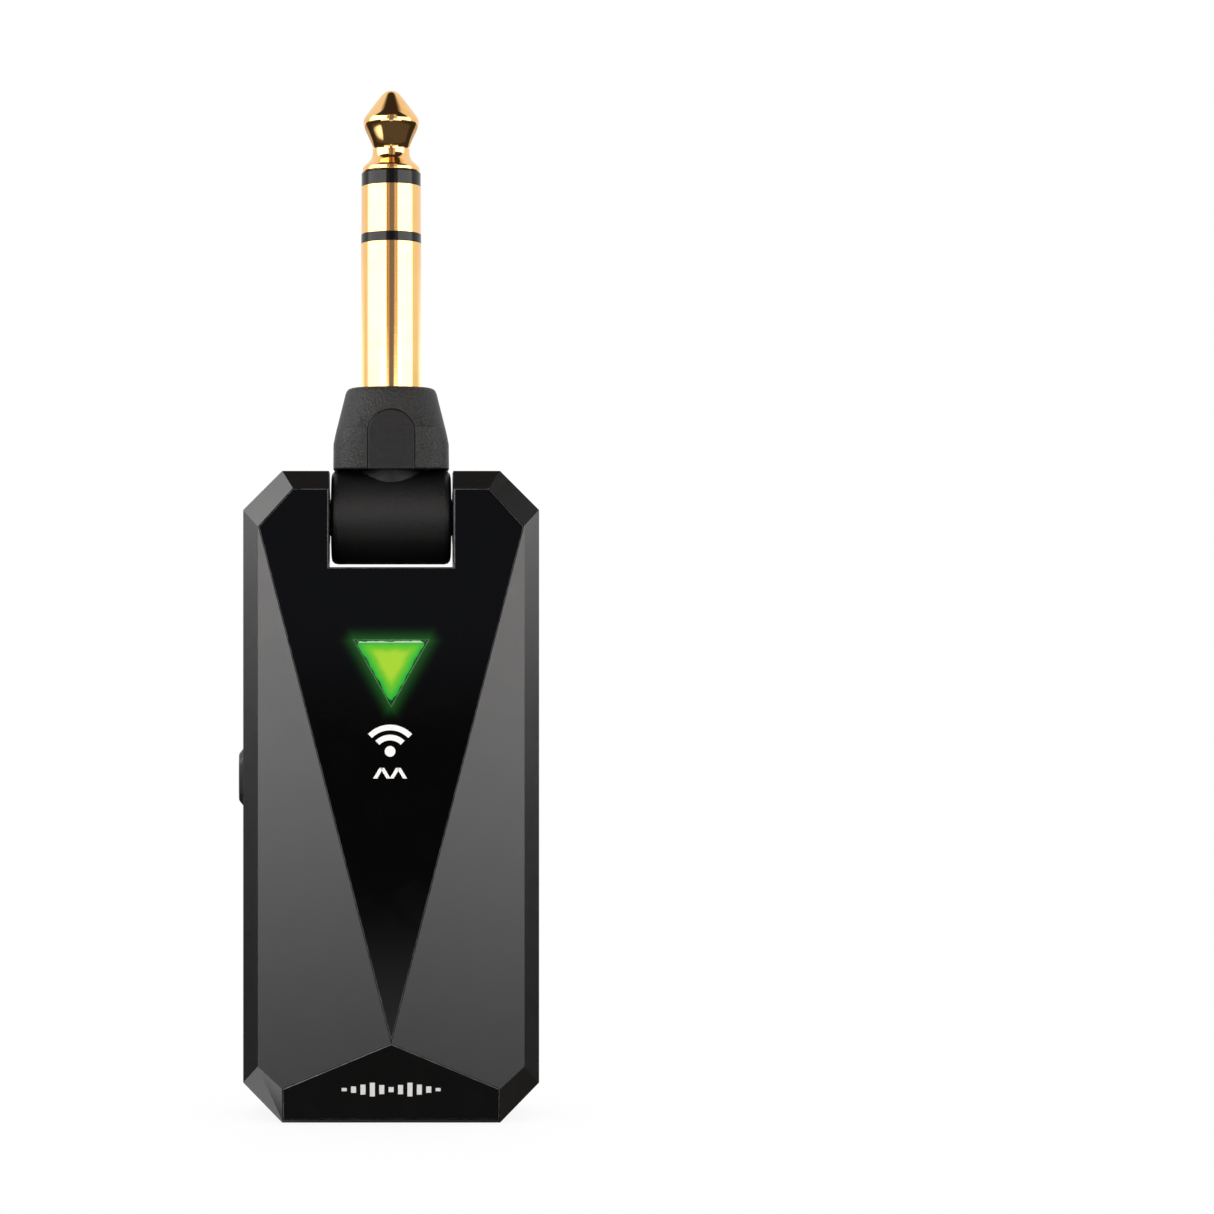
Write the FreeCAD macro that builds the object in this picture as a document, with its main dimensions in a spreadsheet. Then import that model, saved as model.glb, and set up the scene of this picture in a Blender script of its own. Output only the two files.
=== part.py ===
# Wireless instrument transmitter on a folding 6.35 mm jack plug.
#
# Frame: +Z runs up the plug, the front faces -Y, +X is to the right of the front.
# Origin: on the plug's axis, at the shoulder where the plug leaves its boot.
# All lengths are in millimetres.  The plug arm holds the plug, its boot and the
# knuckle; the case hangs from the knuckle on a hollow hinge tube that lies along X.

import FreeCAD, Part
import math
import os
import re
import Sketcher

Vector = FreeCAD.Vector

doc = FreeCAD.newDocument("transmitter")
sheet = doc.addObject("Spreadsheet::Sheet", "dims")

# ---------------------------------------------------------------- driving dimensions

DIMENSIONS = [
    # plug, heights above the shoulder
    ("plug_radius", 3.175), ("sleeve_top", 15.3), ("ring_base", 16.25), ("ring_top", 21.3),
    ("ring_radius", 3.15), ("tip_base", 22.7), ("collar_top", 23.2), ("collar_radius", 3.0),
    ("flare_height", 23.65), ("flare_radius", 2.7), ("waist_height", 24.85), ("waist_radius", 1.9),
    ("throat_height", 26.95), ("throat_radius", 2.55), ("head_height", 27.95), ("head_radius", 2.93),
    ("brow_height", 28.75), ("brow_radius", 2.7), ("nose_height", 31.05), ("nose_radius", 0.76),
    ("plug_reach", 31.5),
    ("rod_radius", 0.9), ("rod_tube_radius", 1.3), ("ring_tube_radius", 1.9), ("core_tube_radius", 2.3),
    ("insulator_radius", 3.13), ("seat_radius", 3.5), ("flange_radius", 3.9), ("flange_top", 1.0),
    ("flange_thick", 1.0), ("tail_length", 3.2), ("sleeve_tail_radius", 2.8),
    # plug, depths of the contacts' tails under the shoulder, and their solder tags
    ("rod_tail", 8.4), ("upper_tail", 7.8), ("ring_tail", 7.2), ("lower_tail", 6.8), ("tag_thick", 0.3),
    ("rod_tag_radius", 1.7), ("ring_tag_radius", 2.7), ("sleeve_tag_radius", 2.95), ("sleeve_tag_top", 4.8),
    # boot
    ("boot_top_half", 4.8), ("boot_half", 6.1), ("boot_flat", 4.95), ("boot_ratio", 0.93),
    ("boot_cone", 5.7),
    # knuckle and hinge
    ("hinge_drop", 13.6), ("barrel_radius", 4.95), ("barrel_half", 6.28), ("barrel_edge", 0.7),
    ("barrel_wall", 1.3), ("barrel_end", 1.5), ("tongue_half", 2.5), ("tongue_top", 2.4),
    ("neck_radius", 4.05), ("neck_gap", 0.05),
    ("neck_bore", 3.1), ("tube_radius", 1.95), ("tube_bore", 1.4), ("tube_half", 9.75),
    ("tube_slot_start", 1.0), ("tube_slot_end", 2.2), ("tube_slot_half", 0.95),
    ("bush_gap", 0.05), ("bush_radius", 2.8), ("bush_flange", 3.0),
    ("bush_flange_thick", 0.5), ("washer_thick", 0.35), ("washer_radius", 2.8),
    ("clip_thick", 0.4), ("clip_radius", 2.7), ("clip_groove", 1.7), ("cable_radius", 0.8),
    ("cable_top", 8.5), ("cable_bend", 1.7), ("lead_bend", 1.6), ("lead_lane", 11.7), ("lead_foot", 26.0),
    ("lead_gap", 0.05),
    # case
    ("case_half", 15.37), ("case_top", 8.9), ("case_length", 67.6), ("corner_cut", 4.06),
    ("wall_depth", 4.6), ("bevel_width", 1.6), ("bevel_rise", 1.35), ("crown", 2.0),
    ("shoulder_drop", 5.8), ("top_bevel", 1.84), ("apex_drop", 58.93), ("heel_drop", 61.62),
    ("tail_half", 11.27), ("tail_drop", 63.89), ("case_wall", 1.6), ("rear_depth", 6.2),
    ("rear_bevel", 1.3), ("notch_half", 6.46), ("notch_rear_half", 6.9), ("notch_drop", 10.0),
    ("notch_wall", 1.4),
    # front trim
    ("trim_gap", 0.08), ("tail_rim", 0.3), ("window_thick", 1.0), ("tail_plate_thick", 0.8),
    ("lens_half", 3.71), ("lens_top", 26.52), ("lens_tip", 33.09), ("lens_thick", 1.3),
    ("guide_wall", 0.8),
    # board and what it carries
    ("board_half", 12.6), ("board_top", 24.8), ("board_foot", 68.4), ("board_thick", 1.0),
    ("board_front", 2.6), ("board_tab_half", 6.0), ("board_tab_foot", 74.6),
    ("shield_half", 6.5), ("shield_top", 40.0), ("shield_foot", 52.0), ("shield_rise", 1.4),
    ("battery_half", 9.7), ("battery_top", 38.5), ("battery_foot", 66.5), ("battery_thick", 4.6),
    ("pad_thick", 0.4), ("usb_half", 4.47), ("usb_rise", 3.2), ("usb_length", 7.3),
    ("usb_shell", 0.3), ("usb_inset", 0.1), ("usb_gap", 0.15), ("usb_floor", 1.0),
    ("blade_half", 3.3), ("blade_thick_half", 0.35),
    ("chip_rise", 0.9), ("charger_rise", 0.8), ("aerial_rise", 1.1), ("led_rise", 0.6), ("led_half", 0.5),
    ("led_top", 28.1), ("led_foot", 28.9), ("capacitor_length", 1.2), ("capacitor_width", 0.7),
    ("cell_rounding", 1.0), ("lead_radius", 0.45), ("lead_depth", 0.2),
    ("plug_top", 31.0), ("plug_foot", 34.0), ("plug_rise", 2.4), ("socket_foot", 29.5), ("socket_rise", 2.8),
    # power button
    ("button_drop", 41.0), ("button_half", 3.3), ("button_wide_half", 1.5), ("button_proud", 0.67),
    ("button_gap", 0.08), ("button_flange", 0.7), ("button_flange_thick", 0.6),
    ("button_round", 0.4), ("button_flat", 0.2), ("wall_gap", 0.05), ("switch_half", 2.3),
    ("switch_deep", 2.4), ("switch_rear", 1.2), ("switch_well", 0.8), ("plunger_half", 0.7),
    ("plunger_bare", 0.65), ("plunger_hidden", 0.4), ("plunger_gap", 0.05),
    # fasteners
    ("screw_radius", 0.8), ("screw_head", 1.7), ("screw_head_deep", 1.0), ("boss_radius", 1.9),
    ("top_boss_half", 6.2), ("top_boss_drop", 22.3), ("foot_boss_half", 10.9),
    ("foot_boss_drop", 71.0), ("board_screw_half", 11.2), ("board_screw_drop", 56.0),
    ("screw_gap", 0.15), ("screw_sunk", 0.3), ("screw_grip", 2.5), ("pilot_depth", 4.2),
    ("rear_boss_radius", 2.4), ("post_radius", 1.5), ("post_pilot_depth", 4.4), ("board_hole", 0.75),
    ("board_shank", 0.6), ("board_head", 1.2), ("board_head_deep", 0.6), ("board_grip", 1.6),
    ("recess_half", 0.17), ("recess_deep", 0.5),
]

for row, (alias, value) in enumerate(DIMENSIONS, start=1):
    sheet.set(f"A{row}", alias)
    sheet.set(f"B{row}", str(value))
    sheet.setAlias(f"B{row}", alias)
doc.recompute()

ALIASES = {alias for alias, value in DIMENSIONS}


def dim(alias):
    """The value of one cell of the sheet."""
    return float(sheet.get(alias))


def bound(words):
    """An expression on the sheet, written with the bare names of its cells."""
    return re.sub(r"[a-z_]+", lambda m: "dims." + m[0] if m[0] in ALIASES else m[0], str(words))


def number(words):
    """What such an expression is worth."""
    return float(sheet.evalExpression(bound(words)))


def label(obj, node):
    """Makes an object a sub-part of its own, named after its node."""
    obj.Label = node
    NODES.append(obj)
    return obj


NODES = []

# ---------------------------------------------------------------- building blocks


def box(name, x_low, x_high, y_low, y_high, z_low, z_high):
    """A block between two corners, each of them an expression."""
    block = doc.addObject("Part::Box", name)
    for side, low, high, axis in (("Length", x_low, x_high, "x"), ("Width", y_low, y_high, "y"),
                                  ("Height", z_low, z_high, "z")):
        block.setExpression(side, bound(f"({high}) - ({low})"))
        block.setExpression("Placement.Base." + axis, bound(low))
    return block


def rod(name, axis, radius, start, end, x="0", y="0", z="0"):
    """A cylinder along X, Y or Z, from start to end on that axis."""
    bar = doc.addObject("Part::Cylinder", name)
    turns = {"x": (Vector(0, 1, 0), 90), "y": (Vector(1, 0, 0), -90), "z": (Vector(0, 0, 1), 0)}
    bar.Placement = FreeCAD.Placement(Vector(0, 0, 0), FreeCAD.Rotation(*turns[axis]))
    bar.setExpression("Radius", bound(radius))
    bar.setExpression("Height", bound(f"({end}) - ({start})"))
    places = {"x": x, "y": y, "z": z, axis: start}
    for direction, place in places.items():
        bar.setExpression("Placement.Base." + direction, bound(place))
    return bar


def fuse(name, *shapes):
    joined = doc.addObject("Part::MultiFuse", name)
    joined.Shapes = list(shapes)
    joined.Refine = True
    return joined


def cut(name, base, *tools):
    """A solid with one or more tools taken out of it."""
    result = doc.addObject("Part::Cut", name)
    result.Base = base
    result.Tool = tools[0] if len(tools) == 1 else fuse(name + "_tools", *tools)
    result.Refine = True
    return result


def common(name, first, second):
    overlap = doc.addObject("Part::MultiCommon", name)
    overlap.Shapes = [first, second]
    overlap.Refine = True
    return overlap


def group(name, *shapes):
    """Like pieces that share one node."""
    together = doc.addObject("Part::Compound", name)
    together.Links = list(shapes)
    return together


def mirrored(name, source):
    """The same piece on the other side of the plane x = 0."""
    twin = doc.addObject("Part::Mirroring", name)
    twin.Source = source
    twin.Normal = Vector(1, 0, 0)
    return twin


def solid_feature(name, shape):
    feature = doc.addObject("Part::Feature", name)
    feature.Shape = shape
    feature.Placement = FreeCAD.Placement()
    return feature


def sketch_on(body, role, points, offset="0"):
    """A closed outline on one of a body's planes.

    Each point is (across, up) or (across, up, radius).  A radius makes the side that
    follows an arc, counter-clockwise when positive and clockwise when negative.
    """
    plane = next(p for p in body.Origin.OriginFeatures if p.Role == role)
    sketch = body.newObject("Sketcher::SketchObject", body.Name + "_outline")
    sketch.AttachmentSupport = [(plane, "")]
    sketch.MapMode = "FlatFace"
    sketch.setExpression("AttachmentOffset.Base.z", bound(offset))
    places = [Vector(number(p[0]), number(p[1]), 0) for p in points]
    count = len(points)
    starts = []
    for i, point in enumerate(points):
        start = places[i]
        end = places[(i + 1) % count]
        if len(point) == 2:
            sketch.addGeometry(Part.LineSegment(start, end))
            starts.append(1)
            continue
        radius = number(point[2])
        chord = end - start
        left = Vector(-chord.y, chord.x, 0).normalize()
        reach = math.sqrt(radius ** 2 - (chord.Length / 2) ** 2)
        centre = (start + end) * 0.5 + left * math.copysign(reach, radius)
        angles = [math.atan2(p.y - centre.y, p.x - centre.x) for p in (start, end)]
        if radius < 0:
            angles.reverse()
        circle = Part.Circle(centre, Vector(0, 0, 1), abs(radius))
        sketch.addGeometry(Part.ArcOfCircle(circle, *angles))
        starts.append(1 if radius > 0 else 2)
    for i, point in enumerate(points):
        after = (i + 1) % count
        sketch.addConstraint(Sketcher.Constraint("Coincident", i, 3 - starts[i], after, starts[after]))
        for kind, words in (("DistanceX", point[0]), ("DistanceY", point[1])):
            rule = Sketcher.Constraint(kind, -1, 1, i, starts[i], number(words))
            index = sketch.addConstraint(rule)
            sketch.setExpression(f"Constraints[{index}]", bound(words))
        if len(point) == 3:
            index = sketch.addConstraint(Sketcher.Constraint("Radius", i, abs(number(point[2]))))
            sketch.setExpression(f"Constraints[{index}]", bound(f"abs({point[2]})"))
    return sketch


def new_body(name):
    return doc.addObject("PartDesign::Body", name)


def pad(body, role, points, start, length):
    """A prism on one of the body's planes, from start along that plane's normal."""
    feature = body.newObject("PartDesign::Pad", body.Name + "_pad")
    feature.Profile = sketch_on(body, role, points, start)
    feature.setExpression("Length", bound(length))
    return feature


def revolve(body, role, points, axis):
    """A turned solid: a half section on one of the body's planes, round one of its axes."""
    feature = body.newObject("PartDesign::Revolution", body.Name + "_turned")
    feature.Profile = sketch_on(body, role, points)
    line = next(a for a in body.Origin.OriginFeatures if a.Role == axis)
    feature.ReferenceAxis = (line, [""])
    feature.Angle = 360
    return feature


def turned(name, points):
    """A piece turned about the plug's axis; each point is (radius, height)."""
    body = new_body(name)
    revolve(body, "XZ_Plane", points, "Z_Axis")
    return body


def ring(name, bore, radius, low, high):
    """A plain ring or tube about the plug's axis."""
    return turned(name, [(bore, low), (radius, low), (radius, high), (bore, high)])


# ---------------------------------------------------------------- the plug

# The tip and its rod, turned from one bar; the rod runs down the middle of the plug.
NOSE_ARC = "((plug_reach - nose_height)^2 + nose_radius^2) / (2 * (plug_reach - nose_height))"
plug_tip = turned("tip", [
    ("0", "-rod_tail"), ("rod_radius", "-rod_tail"), ("rod_radius", "tip_base"),
    ("collar_radius", "tip_base"), ("collar_radius", "collar_top", "0.6"),
    ("flare_radius", "flare_height", "-1.9"), ("waist_radius", "waist_height", "-2.6"),
    ("throat_radius", "throat_height", "2.0"), ("head_radius", "head_height", "0.8"),
    ("brow_radius", "brow_height"), ("nose_radius", "nose_height", NOSE_ARC), ("0", "plug_reach")])
label(plug_tip, "plug_tip")

# The upper insulator is a washer on a long tube that lines the ring contact.
tip_insulator = turned("tip_insulation", [
    ("rod_radius", "-upper_tail"), ("rod_tube_radius", "-upper_tail"), ("rod_tube_radius", "ring_top"),
    ("insulator_radius", "ring_top"), ("insulator_radius", "tip_base"), ("rod_radius", "tip_base")])
label(tip_insulator, "tip_insulator")

ring_contact = turned("ring_turning", [
    ("rod_tube_radius", "-ring_tail"), ("ring_tube_radius", "-ring_tail"), ("ring_tube_radius", "ring_base"),
    ("ring_radius", "ring_base"), ("ring_radius", "ring_top"), ("rod_tube_radius", "ring_top")])
label(ring_contact, "ring_contact")

ring_insulator = turned("ring_insulation", [
    ("ring_tube_radius", "-lower_tail"), ("core_tube_radius", "-lower_tail"),
    ("core_tube_radius", "sleeve_top"),
    ("plug_radius", "sleeve_top"), ("plug_radius", "ring_base"), ("ring_tube_radius", "ring_base")])
label(ring_insulator, "ring_insulator")

# The sleeve carries the flange that the boot and the knuckle's neck trap between them.
plug_sleeve = turned("sleeve", [
    ("core_tube_radius", "-flange_top - flange_thick - tail_length"),
    ("sleeve_tail_radius", "-flange_top - flange_thick - tail_length"),
    ("sleeve_tail_radius", "-flange_top - flange_thick"), ("flange_radius", "-flange_top - flange_thick"),
    ("flange_radius", "-flange_top"), ("seat_radius", "-flange_top"), ("seat_radius", "0"),
    ("plug_radius", "0"), ("plug_radius", "sleeve_top"), ("core_tube_radius", "sleeve_top")])
label(plug_sleeve, "plug_sleeve")

# Three tinned lugs, one on the tail of each contact.
solder_tags = group(
    "tags",
    ring("rod_tag", "rod_radius", "rod_tag_radius", "-rod_tail", "-rod_tail + tag_thick"),
    ring("ring_tag", "ring_tube_radius", "ring_tag_radius", "-ring_tail", "-ring_tail + tag_thick"),
    ring("sleeve_tag", "sleeve_tail_radius", "sleeve_tag_radius", "-sleeve_tag_top - tag_thick",
         "-sleeve_tag_top"))
label(solder_tags, "solder_tags")

# ---------------------------------------------------------------- knuckle and boot


def along_x(name, points):
    """A piece turned about the hinge axis; each point is (place on X, radius)."""
    body = new_body(name)
    revolve(body, "XY_Plane", points, "X_Axis")
    body.setExpression("Placement.Base.z", bound("-hinge_drop"))
    return body


barrel = along_x("barrel", [
    ("-barrel_half", "0"), ("barrel_half", "0"),
    ("barrel_half", "barrel_radius - barrel_edge", "barrel_edge"),
    ("barrel_half - barrel_edge", "barrel_radius"),
    ("-barrel_half + barrel_edge", "barrel_radius", "barrel_edge"),
    ("-barrel_half", "barrel_radius - barrel_edge")])
neck = rod("neck", "z", "neck_radius", "-hinge_drop", "-flange_top - flange_thick")
tongue_bar = box("tongue_bar", "-tongue_half", "tongue_half", "-boot_flat", "boot_flat",
                 "-hinge_drop + barrel_radius", "-tongue_top - tongue_half")
tongue_arch = rod("tongue_arch", "y", "tongue_half", "-boot_flat", "boot_flat", z="-tongue_top - tongue_half")
tongue = fuse("tongue", tongue_bar, tongue_arch)
neck_room = rod("neck_room", "z", "neck_radius + neck_gap", "-flange_top - flange_thick", "0")
tongue_cheeks = cut("tongue_cheeks", tongue, neck_room)
knuckle_block = fuse("knuckle_block", barrel, neck, tongue_cheeks)
knuckle_room = fuse(
    "knuckle_room",
    rod("barrel_room", "x", "barrel_radius - barrel_wall", "-barrel_half + barrel_end",
        "barrel_half - barrel_end", z="-hinge_drop"),
    rod("neck_hole", "z", "neck_bore", "-hinge_drop", "1"),
    rod("tube_hole", "x", "tube_radius", "-barrel_half - 1", "barrel_half + 1", z="-hinge_drop"))
knuckle_shell = cut("knuckle_shell", knuckle_block, knuckle_room)

# The knuckle is moulded in two halves that close on the hinge tube.
for node, low, high in (("knuckle_front", "-case_half", "0"), ("knuckle_rear", "0", "case_half")):
    half_space = box(node + "_half", "-case_half", "case_half", low, high, "-case_half - case_top", "0")
    label(common(node + "_piece", knuckle_shell, half_space), node)


def oval(name, half, height):
    """An ellipse across the plug's axis, flatter from front to back."""
    ellipse = doc.addObject("Part::Ellipse", name)
    ellipse.setExpression("MajorRadius", bound(half))
    ellipse.setExpression("MinorRadius", bound(f"({half}) * boot_ratio"))
    ellipse.setExpression("Placement.Base.z", bound(height))
    return ellipse


def loft(name, *sections):
    through = doc.addObject("Part::Loft", name)
    through.Sections = list(sections)
    through.Solid = True
    through.Ruled = True
    return through


# The boot is a tapered oval sleeve with flat front and back, pushed down over the neck.
boot_form = fuse(
    "boot_form",
    loft("boot_taper", oval("boot_top", "boot_top_half", "0"), oval("boot_waist", "boot_half", "-boot_cone")),
    loft("boot_skirt", oval("boot_waist_again", "boot_half", "-boot_cone"),
         oval("boot_foot", "boot_half", "-hinge_drop + barrel_radius")))
boot_slab = box("boot_slab", "-case_half", "case_half", "-boot_flat", "boot_flat", "-hinge_drop", "0")
boot_outer = common("boot_outer", boot_form, boot_slab)
tongue_slot = fuse(
    "tongue_slot",
    box("slot_bar", "-tongue_half", "tongue_half", "-boot_half", "boot_half", "-hinge_drop",
        "-tongue_top - tongue_half"),
    rod("slot_arch", "y", "tongue_half", "-boot_half", "boot_half", z="-tongue_top - tongue_half"))
slot_core = rod("slot_core", "z", "neck_radius + neck_gap", "-flange_top - flange_thick", "0")
tongue_ways = cut("tongue_ways", tongue_slot, slot_core)
boot = cut(
    "boot_piece", boot_outer, tongue_ways,
    rod("boot_bore_room", "z", "neck_radius", "-hinge_drop", "-flange_top - flange_thick"),
    rod("flange_room", "z", "flange_radius", "-flange_top - flange_thick", "-flange_top"),
    rod("plug_hole", "z", "seat_radius", "-flange_top", "1"))
label(boot, "boot")

# ---------------------------------------------------------------- hinge

BUSH_END = "notch_half + notch_wall + bush_flange_thick"
CLIP_START = BUSH_END + " + washer_thick"
CLIP_END = CLIP_START + " + clip_thick"

# One steel tube is both the hinge's axle and the way for the signal cable.
tube_bar = along_x("tube_bar", [
    ("-tube_half", "tube_bore"), ("tube_half", "tube_bore"), ("tube_half", "tube_radius"),
    (CLIP_END, "tube_radius"), (CLIP_END, "clip_groove"), (CLIP_START, "clip_groove"),
    (CLIP_START, "tube_radius"), (f"-({CLIP_START})", "tube_radius"), (f"-({CLIP_START})", "clip_groove"),
    (f"-({CLIP_END})", "clip_groove"), (f"-({CLIP_END})", "tube_radius"),
    ("-tube_half", "tube_radius")])
tube_window = box("tube_window", "-tube_slot_start", "tube_slot_end", "-tube_slot_half", "tube_slot_half",
                  "-hinge_drop", "-hinge_drop + 2 * tube_radius")
label(cut("tube_piece", tube_bar, tube_window), "hinge_tube")


def pair_on_tube(name, node, points):
    """Two like rings on the hinge tube, one near each end."""
    right = along_x(name, points)
    return label(group(node + "_pair", right, mirrored(name + "_left", right)), node)


pair_on_tube("bush", "hinge_bushes", [
    ("notch_half", "tube_radius + bush_gap"), (BUSH_END, "tube_radius + bush_gap"),
    (BUSH_END, "bush_flange"),
    ("notch_half + notch_wall", "bush_flange"), ("notch_half + notch_wall", "bush_radius"),
    ("notch_half", "bush_radius")])
pair_on_tube("washer", "friction_washers", [
    (BUSH_END, "tube_radius"), (CLIP_START, "tube_radius"),
    (CLIP_START, "washer_radius"), (BUSH_END, "washer_radius")])
pair_on_tube("clip", "retaining_rings", [
    (CLIP_START, "clip_groove"), (CLIP_END, "clip_groove"),
    (CLIP_END, "clip_radius"), (CLIP_START, "clip_radius")])

# ---------------------------------------------------------------- the faceted case

# The case is the space on the inner side of a set of planes, each given by three of
# its points, so that every facet is truly flat and the edges fall where planes meet.
HALF = dim("case_half")
TOP = -dim("case_top")
FOOT = TOP - dim("case_length")
CUT = dim("corner_cut")
EDGE_DEPTH = dim("wall_depth")
FACE_DEPTH = EDGE_DEPTH + dim("bevel_rise")
APEX_DEPTH = FACE_DEPTH + dim("crown")
FACE_HALF = HALF - dim("bevel_width")
SHOULDER = TOP - dim("shoulder_drop")
HEEL = TOP - dim("heel_drop")
APEX = Vector(0, -APEX_DEPTH, TOP - dim("apex_drop"))
MIDDLE = Vector(0, 0, (TOP + FOOT) / 2)


def window_depth(height):
    """How far the sloping front window stands from the parting plane at a height."""
    rise = (SHOULDER - height) / (SHOULDER - APEX.z)
    return FACE_DEPTH + dim("crown") * rise


def front_point(side, half, depth, height):
    return Vector(side * half, -depth, height)


WINDOW_PLANE = (front_point(-1, FACE_HALF, FACE_DEPTH, SHOULDER),
                front_point(1, FACE_HALF, FACE_DEPTH, SHOULDER), APEX)
TAIL_DEPTH = FACE_DEPTH + dim("crown") * (1 - dim("tail_half") / FACE_HALF)
TAIL_HEIGHT = TOP - dim("tail_drop")
TAIL_PLANE = (front_point(-1, dim("tail_half"), TAIL_DEPTH, TAIL_HEIGHT),
              front_point(1, dim("tail_half"), TAIL_DEPTH, TAIL_HEIGHT), APEX)


def front_planes():
    """The window, the tail, the two flanks and the bevels all round the front."""
    top_inner = TOP - dim("top_bevel")
    planes = [WINDOW_PLANE, TAIL_PLANE,
              (Vector(-1, -EDGE_DEPTH, TOP), Vector(1, -EDGE_DEPTH, TOP),
               Vector(0, -window_depth(top_inner), top_inner))]
    for side in (-1, 1):
        shoulder = front_point(side, FACE_HALF, FACE_DEPTH, SHOULDER)
        heel = front_point(side, FACE_HALF, FACE_DEPTH, HEEL)
        tail = front_point(side, dim("tail_half"), TAIL_DEPTH, TAIL_HEIGHT)
        planes.append((shoulder, heel, APEX))
        planes.append((shoulder, heel, front_point(side, HALF, EDGE_DEPTH, HEEL)))
        planes.append((shoulder, front_point(side, HALF, EDGE_DEPTH, TOP - CUT),
                       front_point(side, HALF - CUT, EDGE_DEPTH, TOP)))
        planes.append((heel, tail, front_point(side, HALF, EDGE_DEPTH, FOOT + CUT)))
    return planes


def outline_corners(inset):
    """The eight corners of the outline, seen from the front, moved inwards by inset."""
    half = HALF - inset
    trim = CUT - inset * (2 - math.sqrt(2))
    top = TOP - inset
    foot = FOOT + inset
    right = [(half - trim, top), (half, top - trim), (half, foot + trim), (half - trim, foot)]
    return right + [(-x, z) for x, z in reversed(right)]


def rear_planes():
    """The flat back and the bevel that runs all round it."""
    depth = dim("rear_depth")
    bevel = dim("rear_bevel")
    planes = [(Vector(0, depth, 0), Vector(1, depth, 0), Vector(0, depth, 1))]
    outer = outline_corners(0)
    inner = outline_corners(bevel)
    for i, (x, z) in enumerate(outer):
        after_x, after_z = outer[(i + 1) % len(outer)]
        inner_x, inner_z = inner[i]
        planes.append((Vector(x, depth - bevel, z), Vector(after_x, depth - bevel, after_z),
                       Vector(inner_x, depth, inner_z)))
    return planes


REACH = 120


def beyond(plane, inset):
    """A large block on the outer side of a plane that is first moved inwards."""
    normal = (plane[1] - plane[0]).cross(plane[2] - plane[0]).normalize()
    if normal.dot(plane[0] - MIDDLE) < 0:
        normal = normal * -1
    block = Part.makeBox(2 * REACH, 2 * REACH, REACH, Vector(-REACH, -REACH, 0))
    turn = FreeCAD.Rotation(Vector(0, 0, 1), normal)
    block.Placement = FreeCAD.Placement(plane[0] - normal * inset, turn)
    return block


def faceted(planes, inset, forwards):
    """The inside of the planes and of the case's outline, from the parting plane on."""
    corners = [Vector(x, 0, z) for x, z in outline_corners(inset)]
    prism = Part.Face(Part.makePolygon(corners + corners[:1])).extrude(Vector(0, forwards, 0))
    return prism.cut([beyond(plane, inset) for plane in planes])


def facet(solid, plane):
    """The face of a solid that lies on a plane."""
    normal = (plane[1] - plane[0]).cross(plane[2] - plane[0]).normalize()
    for face in solid.Faces:
        flat = abs(face.normalAt(0, 0).dot(normal)) > 0.99999
        if flat and abs((face.CenterOfMass - plane[0]).dot(normal)) < 0.001:
            return face
    raise ValueError("no facet on this plane")


def inlay(solid, plane, inset, thickness, proud=0):
    """A plate let into a facet: the facet less a margin all round, thickened inwards."""
    face = facet(solid, plane)
    above_rim = Part.makeBox(REACH, REACH, REACH, Vector(-REACH / 2, -REACH / 2, FOOT + dim("tail_rim")))
    face = face.common(above_rim).Faces[0]
    normal = (plane[1] - plane[0]).cross(plane[2] - plane[0]).normalize()
    if normal.dot(plane[0] - MIDDLE) < 0:
        normal = normal * -1
    if inset:
        face = face.makeOffset2D(-inset)
    face.translate(normal * proud)
    return face.extrude(normal * (-thickness - proud))


def wedge_outline(grow):
    """The three corners of the status lens, moved outwards by grow."""
    half = dim("lens_half")
    height = dim("lens_tip") - dim("lens_top")
    slant = math.hypot(half, height)
    widen = grow * (slant + half) / height
    deepen = grow * slant / half
    top = -dim("lens_top") + grow
    return [Vector(-half - widen, 0, top), Vector(half + widen, 0, top),
            Vector(0, 0, -dim("lens_tip") - deepen)]


def wedge(grow, near, far):
    """A three-sided prism with the lens's outline between two depths."""
    corners = wedge_outline(grow)
    face = Part.Face(Part.makePolygon(corners + corners[:1]))
    face.translate(Vector(0, -near, 0))
    return face.extrude(Vector(0, near - far, 0))


FRONT = faceted(front_planes(), 0, -12)
BACK = faceted(rear_planes(), 0, 12)
WALL = dim("case_wall")
GAP = dim("trim_gap")

front_outer = solid_feature("front_outer", FRONT)
front_hollow = solid_feature("front_hollow", faceted(front_planes(), WALL, -12))
rear_outer = solid_feature("rear_outer", BACK)
rear_hollow = solid_feature("rear_hollow", faceted(rear_planes(), WALL, 12))
window_seat = solid_feature(
    "window_seat", inlay(FRONT, WINDOW_PLANE, 0, dim("window_thick"), proud=1))
tail_seat = solid_feature(
    "tail_seat", inlay(FRONT, TAIL_PLANE, 0, dim("tail_plate_thick"), proud=1))


def notch(name, half, wall, front, back):
    """The slot for the knuckle, or with a wall the block of plastic that lines it."""
    return box(name, f"-{half} - {wall}", f"{half} + {wall}", front, back,
               f"-case_top - notch_drop - {wall}", "1")


def bosses(name, radius, low, high):
    """Four upright cylinders on the screws' axes, two under the notch and two at the foot."""
    places = [(side, half, drop) for side in ("", "-") for half, drop in
              (("top_boss_half", "top_boss_drop"), ("foot_boss_half", "foot_boss_drop"))]
    return [rod(f"{name}_{i}", "y", radius, low, high, x=f"{side}{half}", z=f"-{drop}")
            for i, (side, half, drop) in enumerate(places)]


def button_slot(name, y_low, y_high):
    return box(name, "-case_half - 1", "-case_half + case_wall + wall_gap", y_low, y_high,
               "-button_drop - button_half - button_gap", "-button_drop + button_half + button_gap")


def usb_slot(name, y_low, y_high):
    return box(name, "-usb_half - usb_gap", "usb_half + usb_gap", y_low, y_high,
               "-case_top - case_length - 1", "-case_top - case_length + case_wall + wall_gap")


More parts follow.
